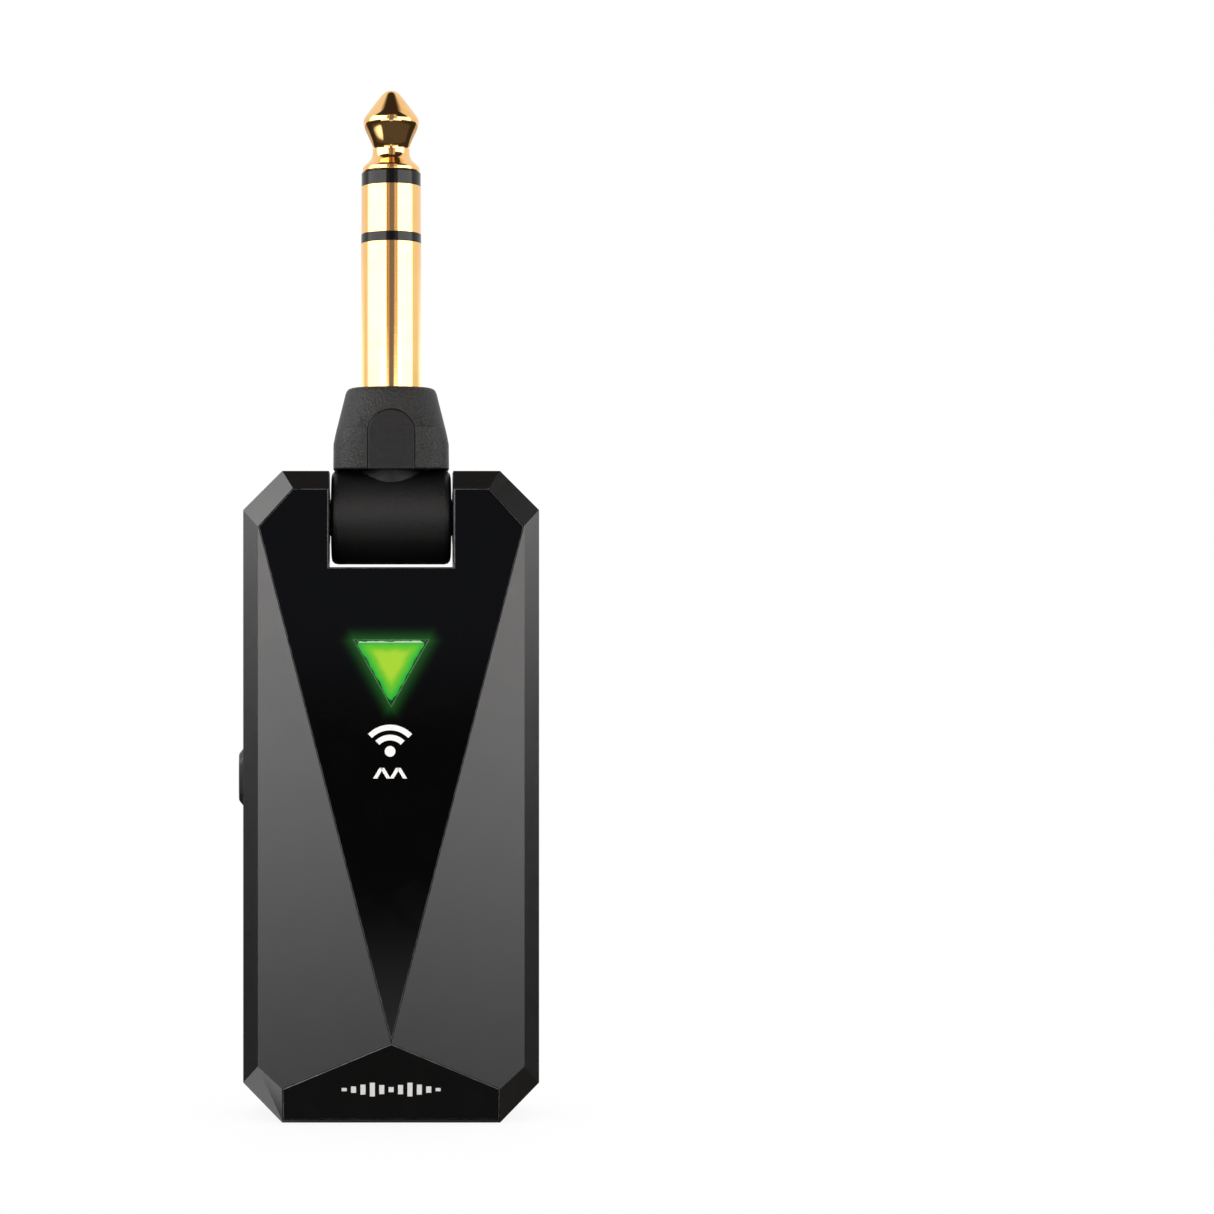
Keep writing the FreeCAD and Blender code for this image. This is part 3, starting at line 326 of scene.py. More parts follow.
# ------------------------------------------------------------------ knuckle
# The plug turns on this knuckle: a barrel along the hinge, a neck that holds the plug, and
# an arched tongue that keys the boot. It is moulded in black plastic, in a front and a rear
# half that close on the hinge tube, with a fine spark-eroded grain.
hinge_height = -13.6
barrel_radius = 4.95
barrel_half = 6.28
tube_hole = 1.95
neck_radius = 4.05
neck_waist = 3.4
neck_bore = 3.1
neck_top = -2.0
tongue_half = 2.5
boot_flat = 4.95
boot_break = -4.3
boot_foot = -8.65
boot_slope = 0.2


def boot_depth(height):
    """How far the boot's front stands out: flat below the break, and tapered above it."""
    return boot_flat - boot_slope * max(0.0, height - boot_break)


def combined(bm, other, operation):
    """Joins or cuts a mesh with another one, and returns the result."""
    pair = []
    for source in (bm, other):
        mesh = bpy.data.meshes.new("blank")
        source.to_mesh(mesh)
        source.free()
        blank = bpy.data.objects.new("blank", mesh)
        bpy.context.scene.collection.objects.link(blank)
        pair.append(blank)
    tool = pair[0].modifiers.new("tool", "BOOLEAN")
    tool.operation = operation
    tool.solver = "EXACT"
    tool.object = pair[1]
    result = bmesh.new()
    result.from_object(pair[0], bpy.context.evaluated_depsgraph_get())
    for blank in pair:
        bpy.data.objects.remove(blank)
    bmesh.ops.remove_doubles(result, verts=result.verts, dist=1e-7)
    return result


def sliced(bm, point, away, keep_both=True):
    """Cuts a mesh along a plane, and gives the new edges."""
    cut = bmesh.ops.bisect_plane(bm, geom=bm.verts[:] + bm.edges[:] + bm.faces[:], dist=1e-7,
                                 plane_co=point, plane_no=away, clear_outer=not keep_both)
    return [e for e in cut["geom_cut"] if isinstance(e, bmesh.types.BMEdge)]


def moved_verts(grown):
    """The vertices of what an extrusion made."""
    return [v for v in grown["geom"] if isinstance(v, bmesh.types.BMVert)]


def along_hinge(bm):
    """Lays a solid that was turned about Z on the hinge's axis."""
    bmesh.ops.rotate(bm, verts=bm.verts, cent=(0, 0, 0),
                     matrix=Matrix.Rotation(math.radians(90), 3, "Y"))
    bmesh.ops.translate(bm, verts=bm.verts, vec=(0, 0, hinge_height * MM))
    return bm


def arch(half, top, foot, deep, taper=True):
    """An upright slab with a half-round top, its faces tapered above the boot's break."""
    bm = bmesh.new()
    centre = top - half
    corners = [(half, foot), (half, centre)]
    corners += [(half * math.cos(math.radians(a)), centre + half * math.sin(math.radians(a)))
                for a in range(10, 180, 10)]
    corners += [(-half, centre), (-half, foot)]
    face = bm.faces.new([bm.verts.new((x * MM, -deep * MM, z * MM)) for x, z in corners])
    grown = bmesh.ops.extrude_face_region(bm, geom=[face])
    bmesh.ops.translate(bm, verts=moved_verts(grown), vec=(0, 2 * deep * MM, 0))
    if taper:
        sliced(bm, (0, 0, boot_break * MM), (0, 0, 1))
        for vert in bm.verts:
            vert.co.y *= boot_depth(vert.co.z / MM) / boot_flat
    bmesh.ops.recalc_face_normals(bm, faces=bm.faces)
    return bm


moulding, given, out, place = effect("moulded_grain", [("Cells per mm", 5.0)], ["Height", "Tone"])
in_mm = in_millimetres(moulding, place)
pits = node(moulding, "TexVoronoi", {"Vector": in_mm, "Scale": given["Cells per mm"], "Smoothness": 0.6},
            feature="SMOOTH_F1")
cloud = node(moulding, "TexNoise", {"Vector": in_mm, "Scale": given["Cells per mm"], "Detail": 3.0})
moulding.links.new(math_of(moulding, "ADD", pits.outputs["Distance"], cloud.outputs["Fac"]), out["Height"])
moulding.links.new(between(moulding, cloud.outputs["Fac"], 0.3, 0.7), out["Tone"])


def moulded(name, colour, roughness, cells_per_mm=5.0, depth=0.02, specular=0.5, contrast=0.35,
            edge=0.5):
    """Plain moulded plastic: grain, slight mottling, and lighter polished edges, partly wear from handling
    and partly a painted highlight.
    """
    material, tree, shader = material_of(name, roughness, specular=specular)
    grain = placed(tree, moulding, Cells_per_mm=cells_per_mm)
    marks = placed(tree, handling)
    rub_and_highlight = math_of(tree, "MULTIPLY", placed(tree, edge_wear_and_highlight)["Wear"], edge)
    dark = tuple(c * (1 - contrast) for c in colour)
    light = tuple(min(1.0, c * (1 + contrast)) for c in colour)
    rubbed_and_highlight_tone = tuple(min(1.0, c + 0.05) for c in light)
    base = mixed(tree, grain["Tone"], dark, light)
    tree.links.new(mixed(tree, rub_and_highlight, base, rubbed_and_highlight_tone), shader["Base Color"])
    handled = between(tree, marks["Smudge"], 0.0, 1.0, roughness, roughness * 0.95)
    polish = math_of(tree, "MULTIPLY", rub_and_highlight, roughness * 0.4)
    tree.links.new(math_of(tree, "SUBTRACT", handled, polish), shader["Roughness"])
    bump(tree, shader, grain["Height"], 0.5, depth * MM)
    return material


barrel = along_hinge(turned([
    (tube_hole, -barrel_half), (tube_hole, barrel_half), (4.25, barrel_half), (4.6, 6.21), (4.85, 5.98),
    (barrel_radius, 5.6), (barrel_radius, -5.6), (4.85, -5.98), (4.6, -6.21), (4.25, -barrel_half)], 144))
neck = turned([
    (0, -13.0), (neck_waist, -13.0), (neck_waist, -8.4), (neck_radius, -8.0), (neck_radius, neck_top),
    (0, neck_top)], 72)
knuckle = combined(barrel, neck, "UNION")
tongue = arch(tongue_half - 0.04, -2.44, boot_foot, boot_flat)
edges = [e for e in sharp_edges(tongue, 20) if min(abs(v.co.y) for v in e.verts) > 4.0 * MM
         and max(v.co.z for v in e.verts) > (boot_foot + 0.1) * MM]
soften(tongue, edges, 0.15, 3)
knuckle = combined(knuckle, tongue, "UNION")
hollow = turned([(0, -12.0), (neck_bore, -12.0), (neck_bore, 0), (0, 0)], 72)
knuckle = combined(knuckle, hollow, "DIFFERENCE")
grained = moulded("grained_knuckle", (0.006, 0.006, 0.006), 0.47, 6.5, 0.06, specular=0.35)
for half, side in (("front", 1), ("rear", -1)):
    bm = knuckle.copy()
    rim = sliced(bm, (0, 0, 0), (0, side, 0), keep_both=False)
    bmesh.ops.holes_fill(bm, edges=rim, sides=0)
    settle("knuckle_" + half + "_half", bm, "plug_arm", grained, "grained_plastic", "knuckle_" + half)
knuckle.free()

# ------------------------------------------------------------------ boot
# A stiff sleeve slides down over the knuckle's neck and traps the plug's flange. It tapers
# from an oval top to a squarer skirt with a flat front and back, is slotted for the tongue,
# and is moulded in a coarser grain than the knuckle.
boot_bore = 4.08
collar_bore = 3.92
plug_bore = 3.52
boot_rings = (  # height, half width, half depth and squareness: up the bore, then down the outside
    (boot_foot, boot_bore, boot_bore, 2), (-2.0, boot_bore, boot_bore, 2),
    (-2.0, collar_bore, collar_bore, 2), (-1.0, collar_bore, collar_bore, 2),
    (-1.0, plug_bore, plug_bore, 2), (-0.06, plug_bore, plug_bore, 2), (0.0, 3.58, 3.58, 2),
    (0.0, 4.25, 3.68, 2.1),
    (-0.08, 4.48, 3.86, 2.1), (-0.28, 4.68, 4.0, 2.15), (-0.6, 4.82, 4.12, 2.2), (-1.6, 5.06, 4.36, 2.45),
    (-2.8, 5.36, 4.62, 2.8), (boot_break + 0.04, 5.71, 4.93, 3.5),
    (boot_break - 0.04, 5.73, boot_flat, 3.8), (-5.2, 5.92, boot_flat, 4.0), (-6.0, 6.07, boot_flat, 4.1),
    (boot_foot + 0.12, 6.09, boot_flat, 4.2), (boot_foot, 6.0, boot_flat - 0.1, 4.2))
bm = turned([(1, place) for place in range(len(boot_rings))], 120)
for vert in bm.verts:
    height, half_wide, half_deep, squareness = boot_rings[round(vert.co.z / MM)]
    angle = math.atan2(vert.co.y, vert.co.x)
    across, deep = (math.copysign(abs(part) ** (2 / squareness), part)
                    for part in (math.cos(angle), math.sin(angle)))
    vert.co = (across * half_wide * MM, deep * half_deep * MM, height * MM)
bmesh.ops.recalc_face_normals(bm, faces=bm.faces)
slot_cutter = arch(tongue_half, -2.4, boot_foot - 1, boot_flat + 1, taper=False)
bm = combined(bm, slot_cutter, "DIFFERENCE")
coarse = moulded("coarse_boot", (0.016, 0.016, 0.016), 0.52, 4.6, 0.10, specular=0.4, contrast=0.45)
settle("boot_sleeve", bm, "plug_arm", coarse, "boot_plastic", "boot", crisp=24)

# ------------------------------------------------------------------ hinge
# A blackened steel tube is the hinge's axle and the way for the cable. It turns in two
# flanged bushes of black acetal, and steel washers and clips hold it between them.


def blackened(name, colour, roughness):
    """Steel with a black oxide finish, rubbed brighter in places."""
    material, tree, shader = material_of(name, roughness, metallic=0.85)
    marks = placed(tree, lathe, Rings_per_mm=9.0)
    bright = tuple(min(1.0, c + 0.12) for c in colour)
    bare = between(tree, marks["Wear"], 0.55, 0.72)
    tree.links.new(mixed(tree, bare, colour, bright), shader["Base Color"])
    tree.links.new(between(tree, marks["Wear"], 0.3, 0.7, roughness * 0.8, roughness * 1.2),
                   shader["Roughness"])
    bump(tree, shader, marks["Height"], 0.1, 0.00003)
    return material


dress(blackened("oxide_steel", (0.03, 0.03, 0.032), 0.34), "hinge_tube")
dress(blackened("spring_steel", (0.32, 0.32, 0.33), 0.3), "friction_washers", "retaining_rings")
dress(moulded("acetal_bush", (0.02, 0.02, 0.02), 0.42, 9.0, 0.01), "hinge_bushes")

# ------------------------------------------------------------------ signal cable
# A thin screened cable runs from the plug's tags, through the hinge tube, to the board.
# Its jacket is extruded soft plastic, slightly ribbed by the braid under it.


def extruded(name, colour, roughness):
    material, tree, shader = material_of(name, roughness)
    place = place_in(tree)
    braid = node(tree, "TexWave", {"Vector": place, "Scale": 900.0, "Distortion": 3.0, "Detail": 2.0},
                 bands_direction="DIAGONAL").outputs["Fac"]
    dark = tuple(c * 0.8 for c in colour)
    tree.links.new(mixed(tree, braid, dark, colour), shader["Base Color"])
    tree.links.new(between(tree, braid, 0.0, 1.0, roughness * 0.9, roughness * 1.1), shader["Roughness"])
    bump(tree, shader, braid, 0.3, 0.00003)
    return material


dress(extruded("cable_jacket", (0.025, 0.025, 0.025), 0.5), "plug_cable", "board_cable")

# ------------------------------------------------------------------ front shell
# The faceted front half of the case, injection moulded in black ABS with satin flanks and
# polished bevels. Seats for the window and the foot plate are sunk in it, and it carries
# half of each hinge seat and the bosses for all the screws.
case_top = -8.9
case_foot = -76.5
case_half = 15.37
corner_cut = 4.06
wall_front = -4.6
back_bevel = 4.9
foremost_round = -7.6  # in front of this the facets meet at too sharp a point for a round
case_round = 0.12


def copy_of(name):
    """A clean copy of a CAD mesh, with its flat faces whole."""
    bm = bmesh.new()
    bm.from_mesh(nodes[name].data)
    bmesh.ops.remove_doubles(bm, verts=bm.verts, dist=2e-6)
    bmesh.ops.dissolve_limit(bm, angle_limit=math.radians(0.5), verts=bm.verts, edges=bm.edges)
    return bm


def worn(bm, edges, width, segments=2):
    """Softens edges, and marks the new faces for the edge wear and its painted highlight."""
    layer = bm.faces.layers.float.get("edge") or bm.faces.layers.float.new("edge")
    made = bmesh.ops.bevel(bm, geom=edges, offset=width * MM, offset_type="OFFSET", segments=segments,
                           profile=0.5, affect="EDGES", clamp_overlap=True, material=-1)
    for face in made["faces"]:
        face[layer] = 1.0


def outline_edge(edge):
    """Is this one of the long edges that show on the outside of the case?"""
    if edge.calc_length() < 0.6 * MM:
        return False
    outside = 0
    for vert in edge.verts:
        x, y, z = vert.co / MM
        if y < foremost_round:
            return False
        corner = abs(x) - case_half + max(z - case_top, case_foot - z) + corner_cut
        near_side = abs(x) > case_half - 0.03 or z > case_top - 0.03 or z < case_foot + 0.03
        on_cut = abs(corner) < 0.05
        outside += near_side or on_cut or y < wall_front - 0.02 or y > back_bevel - 0.02
    return outside == 2


def outline_rounded(name):
    """A copy of half of the case, with the edges of its outside softened."""
    bm = copy_of(name)
    worn(bm, [edge for edge in sharp_edges(bm, 12) if outline_edge(edge) and edge.is_convex], case_round)
    return bm


satin = moulded("satin_shell", (0.005, 0.005, 0.005), 0.25, 16.0, 0.004, specular=0.9, contrast=0.08,
                edge=0.6)
bm = outline_rounded("front_shell")
settle("shell", bm, "case", satin, "gloss_shell", "front_shell", crisp=30, flat=True)

# ------------------------------------------------------------------ rear cover
# The flat back of the case, moulded in the same black ABS with a fine grain on the back
# and a bevel all round. Four screws in sunk holes pull it against the front shell.
back_grain = moulded("grained_cover", (0.017, 0.017, 0.017), 0.42, 7.0, 0.02, specular=0.5, edge=0.5)
bm = outline_rounded("rear_cover")
settle("back_cover", bm, "case", back_grain, "satin_shell", "rear_cover", crisp=30, flat=True)

# ------------------------------------------------------------------ front window
# A V-shaped plate of smoked acrylic, 1 mm thick, glued in its seat. It is back-painted
# black, so it looks like piano lacquer, and a painted glow round the lens stands for the status light
# shining through it a little.
lens_half = 3.71
lens_top = -26.52
lens_tip = -33.09


def lens_distance(tree, place):
    """Distance outside the lens's outline in mm, less than zero inside it."""
    parts = node(tree, "SeparateXYZ", {0: place}).outputs
    x = math_of(tree, "MULTIPLY", parts["X"], 1000.0)
    z = math_of(tree, "MULTIPLY", parts["Z"], 1000.0)
    tall = lens_top - lens_tip
    slant = math.hypot(tall, lens_half)
    down = math_of(tree, "MULTIPLY", math_of(tree, "SUBTRACT", z, lens_tip), lens_half / slant)
    sides = [math_of(tree, "SUBTRACT", z, lens_top)]
    for way in (-1, 1):
        sides.append(math_of(tree, "SUBTRACT", math_of(tree, "MULTIPLY", x, way * tall / slant), down))
    inside = sides[0]
    outside = math_of(tree, "MAXIMUM", sides[0], 0.0)
    for side in sides[1:]:
        inside = node(tree, "Math", {0: inside, 1: side, 2: 0.9}, operation="SMOOTH_MAX").outputs[0]
        outside = math_of(tree, "ADD", outside, math_of(tree, "MAXIMUM", side, 0.0))
    return math_of(tree, "ADD", outside, math_of(tree, "MINIMUM", inside, 0.0))


def plate_rounded(name, front, shortest=0.0):
    """A copy of a plate, with the edges of its front face softened a little."""
    bm = copy_of(name)
    worn(bm, [edge for edge in sharp_edges(bm, 30) if edge.is_convex and edge.calc_face_angle() > 1.2
              and edge.calc_length() > shortest * MM
              and max(v.co.y for v in edge.verts) < front * MM], 0.06, 1)
    return bm


smoked = glossy("smoked_acrylic", (0.0016, 0.0016, 0.0016), 0.05, specular=0.25, smear=0.03, wave=0.008,
                edge=0.5)
tree = smoked.node_tree
shader = tree.nodes["Principled BSDF"].inputs
place = place_in(tree)
# The plate's emission is a painted glow, brightest at the lens and fading out within about 2 mm of it.
glow = between(tree, lens_distance(tree, place), 2.2, -0.3)
tree.links.new(mixed(tree, math_of(tree, "POWER", glow, 2.4), (0, 0, 0), (0.013, 0.095, 0.014)),
               shader["Emission Color"])
shader["Emission Strength"].default_value = 1.0
bm = plate_rounded("front_window", -5.6, shortest=1.0)
settle("window_plate", bm, "case", smoked, "smoked_window", "front_window", crisp=30, flat=True)

# ------------------------------------------------------------------ printed signs
# A radio sign, two send arrows under it and a row of level bars at the foot are screen
# printed in white ink, a few hundredths of a millimetre thick, on the glossy plates.
window_top = -14.7
window_depth = 5.95
window_slope = 2.0 / 53.13
apex_height = -67.83
tail_slope = 1.64 / 4.96


def ink_on_window(bm):
    for vert in bm.verts:
        vert.co.y -= (window_depth + window_slope * (window_top - vert.co.z / MM)) * MM


def ink_on_tail(bm):
    for vert in bm.verts:
        vert.co.y -= (window_depth + 2.0 - tail_slope * (apex_height - vert.co.z / MM)) * MM


def thick(bm):
    """Gives flat ink its thickness, most of it proud of the plate."""
    bmesh.ops.recalc_face_normals(bm, faces=bm.faces)
    grown = bmesh.ops.extrude_face_region(bm, geom=bm.faces[:])
    bmesh.ops.translate(bm, verts=moved_verts(grown), vec=(0, 0.03 * MM, 0))
    bmesh.ops.translate(bm, verts=bm.verts, vec=(0, -0.02 * MM, 0))
    bmesh.ops.recalc_face_normals(bm, faces=bm.faces)
    return bm


def wave_arc(bm, centre, outer, stroke, half_angle):
    """One curved bar of the radio sign."""
    ends = [bm.verts.new((centre[0] * MM, 0, (centre[1] + r) * MM)) for r in (outer - stroke, outer)]
    edge = bm.edges.new(ends)
    start = Matrix.Rotation(-math.radians(half_angle), 3, "Y")
    middle = (centre[0] * MM, 0, centre[1] * MM)
    bmesh.ops.rotate(bm, verts=ends, cent=middle, matrix=start)
    bmesh.ops.spin(bm, geom=ends + [edge], cent=middle, axis=(0, 1, 0),
                   angle=math.radians(2 * half_angle), steps=40)


def slanted_bar(bm, x, z, wide, tall, slant=0.0):
    """An upright bar about (x, z), its top moved sideways by slant."""
    made = bmesh.ops.create_grid(bm, x_segments=1, y_segments=1, size=0.5)["verts"]
    for vert in made:
        across, up = vert.co.x, vert.co.y
        vert.co = ((x + across * wide + up * slant) * MM, 0, (z + up * tall) * MM)


def printed(name, thin, full, roughness):
    """Screen ink with an uneven tone, from where it is thin to where it covers fully."""
    material, tree, shader = material_of(name, roughness)
    marks = placed(tree, moulding, Cells_per_mm=14.0)
    tree.links.new(mixed(tree, marks["Tone"], (thin, thin, thin), (full, full, full)), shader["Base Color"])
    tree.links.new(between(tree, marks["Tone"], 0.0, 1.0, roughness - 0.05, roughness + 0.05),
                   shader["Roughness"])
    bump(tree, shader, marks["Height"], 0.2, 0.00001)
    return material


ink = printed("white_ink", 0.86, 0.93, 0.45)
sign_middle = (-0.11, -38.33)
bar_pitch = 0.97
bm = bmesh.new()
wave_arc(bm, sign_middle, 3.165, 0.58, 46)
wave_arc(bm, sign_middle, 2.13, 0.58, 45)
dot = bmesh.ops.create_circle(bm, cap_ends=True, segments=48, radius=0.55 * MM,
                              matrix=Matrix.Rotation(math.radians(90), 4, "X"))["verts"]
bmesh.ops.translate(bm, verts=dot, vec=(sign_middle[0] * MM, 0, -37.91 * MM))
ink_on_window(thick(bm))
settle("radio_sign", bm, "case", ink, "white_plastic", crisp=30)
bm = bmesh.new()
for middle in (-0.96, 0.74):
    for side in (-1, 1):
        slanted_bar(bm, middle + side * 0.36, -40.15, 0.42, 1.1, -side * 0.66)
ink_on_window(thick(bm))
settle("send_arrows", bm, "case", ink, "white_plastic", crisp=30)
foot_ink = printed("grey_ink", 0.66, 0.74, 0.5)
bm = bmesh.new()
for order, tall in enumerate((0.35, 0.7, 1.1, 1.5, 1.0, 0.55, 1.0, 1.5, 1.1, 0.7, 0.35)):
    slanted_bar(bm, (order - 5) * bar_pitch, -72.85, 0.52, tall)
ink_on_tail(thick(bm))
settle("level_bars", bm, "case", foot_ink, "white_plastic", crisp=30)

# ------------------------------------------------------------------ foot plate
# A second black acrylic plate closes the foot of the front, below the window's point. It
# is glued in its own seat, and a narrow groove parts it from the satin flanks.
foot_gloss = glossy("foot_acrylic", (0.0045, 0.0045, 0.0045), 0.11, specular=0.25, smear=0.05, wave=0.01,
                    edge=0.5)
bm = plate_rounded("tail_plate", -5.2)
settle("foot_plate", bm, "case", foot_gloss, "smoked_window", "tail_plate", crisp=30, flat=True)

# ------------------------------------------------------------------ status lens
# A three-sided block of translucent green acrylic fills the hole in the window. Three
# light-emitting diodes shine into it through a white plastic baffle on the board.
lens_green, tree, shader = material_of("lens_acrylic", 0.12, specular=0.15)
place = place_in(tree)
reach = lens_distance(tree, place)
parts = node(tree, "SeparateXYZ", {0: place}).outputs
clouds = node(tree, "TexNoise", {"Vector": place, "Scale": 900.0, "Detail": 3.0}).outputs["Fac"]
reach = math_of(tree, "ADD", reach, between(tree, clouds, 0.3, 0.7, -0.08, 0.08))
# The emission is a painted glow that stands for the diodes' light in the block: dimmer at the rim,
# brightest in the core.
rim = mixed(tree, between(tree, reach, -0.05, -0.75), (0.012, 0.36, 0.040), (0.125, 0.47, 0.024))
core = mixed(tree, between(tree, reach, -0.65, -1.35), rim, (0.39, 0.60, 0.030))
height = math_of(tree, "MULTIPLY", parts["Z"], 1000.0)
# A painted highlight runs along the top edge of the block.
painted_top_highlight = between(tree, height, lens_top - 0.24, lens_top - 0.14)
with_painted_highlight = mixed(tree, painted_top_highlight, core, (0.50, 0.66, 0.47))
# A painted dark outline takes the glow away at the very edge of the block.
shaded = between(tree, reach, -0.10, -0.05)
tree.links.new(mixed(tree, shaded, with_painted_highlight, (0.0, 0.004, 0.0)), shader["Emission Color"])
shader["Emission Strength"].default_value = 1.0
tree.links.new(mixed(tree, clouds, (0.004, 0.06, 0.008), (0.006, 0.09, 0.01)), shader["Base Color"])
tree.links.new(between(tree, clouds, 0.2, 0.8, 0.1, 0.16), shader["Roughness"])
bm = copy_of("status_lens")
worn(bm, [edge for edge in sharp_edges(bm, 30) if max(v.co.y for v in edge.verts) < -6.0 * MM], 0.12, 2)
settle("lens", bm, "case", lens_green, "green_lens", "status_lens", crisp=50, flat=True)
dress(moulded("baffle_plastic", (0.75, 0.75, 0.73), 0.5, 8.0, 0.01, contrast=0.05, edge=0.0),
      "light_baffle")

# ------------------------------------------------------------------ main board
# A two-sided glass-epoxy board with green solder mask over its copper tracks. It screws to
# two posts in the front shell, and carries the radio, the charger and the sockets.
board_green, tree, shader = material_of("solder_mask", 0.32)
place = place_in(tree)
in_mm = in_millimetres(tree, place)
flat = node(tree, "Mapping", {"Vector": in_mm, "Scale": (1, 0, 1), "Rotation": (math.radians(90), 0, 0)})
routes = node(tree, "TexBrick", {"Vector": flat.outputs[0], "Scale": 1.0, "Mortar Size": 0.07,
                                 "Brick Width": 2.6, "Row Height": 0.65}).outputs["Fac"]
bends = node(tree, "TexNoise", {"Vector": in_mm, "Scale": 0.35, "Detail": 2.0}).outputs["Fac"]
copper = math_of(tree, "MULTIPLY", routes, between(tree, bends, 0.42, 0.5))
tree.links.new(mixed(tree, copper, (0.004, 0.07, 0.022), (0.02, 0.17, 0.05)), shader["Base Color"])
tree.links.new(between(tree, bends, 0.3, 0.7, 0.28, 0.4), shader["Roughness"])
bump(tree, shader, copper, 0.4, 0.00003)
dress(board_green, "main_board")

# ------------------------------------------------------------------ parts on the board
# The radio chip sits under a folded tin can; round it are the charger, converter and
# amplifier chips in epoxy, ceramic capacitors, the aerial and the three diodes.
epoxy = moulded("chip_epoxy", (0.012, 0.012, 0.013), 0.55, 12.0, 0.01, contrast=0.3, edge=0.0)
dress(epoxy, "radio_chip", "circuit_chips")
dress(tinned("can_tin", (0.72, 0.72, 0.70), 0.30), "radio_shield")
dress(moulded("capacitor_ceramic", (0.36, 0.25, 0.15), 0.45, 10.0, 0.01, contrast=0.15, edge=0.0),
      "chip_capacitors")
dress(moulded("aerial_ceramic", (0.70, 0.69, 0.66), 0.4, 10.0, 0.01, contrast=0.08, edge=0.0),
      "chip_antenna")
diode, tree, shader = material_of("diode_lens", 0.3)
place = place_in(tree)
grains = node(tree, "TexNoise", {"Vector": place, "Scale": 4000.0, "Detail": 2.0}).outputs["Fac"]
tree.links.new(mixed(tree, grains, (0.5, 0.62, 0.45), (0.7, 0.8, 0.6)), shader["Base Color"])
tree.links.new(mixed(tree, grains, (0.1, 0.6, 0.1), (0.2, 0.8, 0.15)), shader["Emission Color"])
shader["Emission Strength"].default_value = 1.0
tree.links.new(between(tree, grains, 0.2, 0.8, 0.25, 0.4), shader["Roughness"])
dress(diode, "status_leds")
dress(moulded("nylon", (0.78, 0.77, 0.72), 0.45, 8.0, 0.01, contrast=0.05, edge=0.0),
      "battery_connector", "cable_connector")
dress(moulded("switch_body", (0.03, 0.03, 0.03), 0.5, 9.0, 0.01, edge=0.0), "side_switch")

# ------------------------------------------------------------------ battery
# A flat lithium cell in a crimped aluminium-foil pouch, stuck to a foam pad on the back of
# the board. Its red and black leads end in a two-way nylon plug.
foil, tree, shader = material_of("cell_foil", 0.3, metallic=1.0)
place = place_in(tree)
creases = node(tree, "TexVoronoi", {"Vector": place, "Scale": 260.0},
               feature="DISTANCE_TO_EDGE").outputs["Distance"]
crumple = node(tree, "TexNoise", {"Vector": place, "Scale": 500.0, "Detail": 6.0}).outputs["Fac"]
tree.links.new(mixed(tree, crumple, (0.62, 0.63, 0.65), (0.74, 0.75, 0.77)), shader["Base Color"])
tree.links.new(between(tree, crumple, 0.3, 0.7, 0.22, 0.4), shader["Roughness"])
bump(tree, shader, math_of(tree, "ADD", between(tree, creases, 0.0, 0.08), crumple), 0.3, 0.0001)
dress(foil, "battery")
foam, tree, shader = material_of("foam_pad", 0.9)
pores = node(tree, "TexVoronoi", {"Vector": place_in(tree), "Scale": 4500.0}).outputs["Distance"]
tree.links.new(mixed(tree, between(tree, pores, 0.1, 0.6), (0.04, 0.04, 0.045), (0.12, 0.12, 0.13)),
               shader["Base Color"])
bump(tree, shader, pores, 0.8, 0.00008)
dress(foam, "battery_pad")
leads, tree, shader = material_of("lead_insulation", 0.4)
place = place_in(tree)
side = between(tree, node(tree, "SeparateXYZ", {0: place}).outputs["X"], -0.0081, -0.0079)
ribs = node(tree, "TexNoise", {"Vector": place, "Scale": 2500.0, "Detail": 2.0}).outputs["Fac"]
red = mixed(tree, ribs, (0.5, 0.02, 0.015), (0.6, 0.035, 0.02))
tree.links.new(mixed(tree, side, red, (0.02, 0.02, 0.02)), shader["Base Color"])
tree.links.new(between(tree, ribs, 0.2, 0.8, 0.35, 0.5), shader["Roughness"])
bump(tree, shader, ribs, 0.2, 0.00002)
dress(leads, "battery_leads")

# ------------------------------------------------------------------ charging socket
# A USB-C socket soldered to the board's foot: a drawn steel shell round a plastic tongue.
dress(tinned("socket_steel", (0.55, 0.55, 0.56), 0.28), "usb_socket")
dress(moulded("tongue_plastic", (0.015, 0.015, 0.015), 0.45, 9.0, 0.01, edge=0.0), "usb_tongue")

# ------------------------------------------------------------------ power button
# A long narrow key in the left flank, moulded in black plastic with rounded ends and a
# polished rim. Its flange is trapped behind the wall, and it presses a tiny switch.
button_middle = -41.0
cap_face = -16.04
key_narrowing = 0.66
key_shortening = 0.76
bm = copy_of("power_button")
sliced(bm, ((-case_half - 0.02) * MM, 0, 0), (1, 0, 0))
for vert in bm.verts:
    if vert.co.x < (cap_face + 0.1) * MM:
        vert.co.y *= key_narrowing
        vert.co.z = (button_middle + (vert.co.z / MM - button_middle) * key_shortening) * MM
worn(bm, [edge for edge in sharp_edges(bm, 12) if max(v.co.x for v in edge.verts) < -15.2 * MM
          and abs(edge.verts[0].co.x - edge.verts[1].co.x) < 0.1 * MM], 0.1, 2)
key = glossy("button_gloss", (0.008, 0.008, 0.008), 0.25, smear=0.08, edge=0.4)
settle("power_key", bm, "button", key, "button_plastic", "power_button", crisp=40, flat=True)
dress(moulded("plunger_plastic", (0.03, 0.03, 0.03), 0.4, 9.0, 0.01, edge=0.0), "switch_plunger")

# ------------------------------------------------------------------ screws
# Four thread-forming screws close the case from the back and two hold the board. They are
# steel with a black finish, and the driver has brightened their cross recesses.
dress(blackened("screw_black", (0.045, 0.045, 0.045), 0.32), "case_screws", "board_screws")

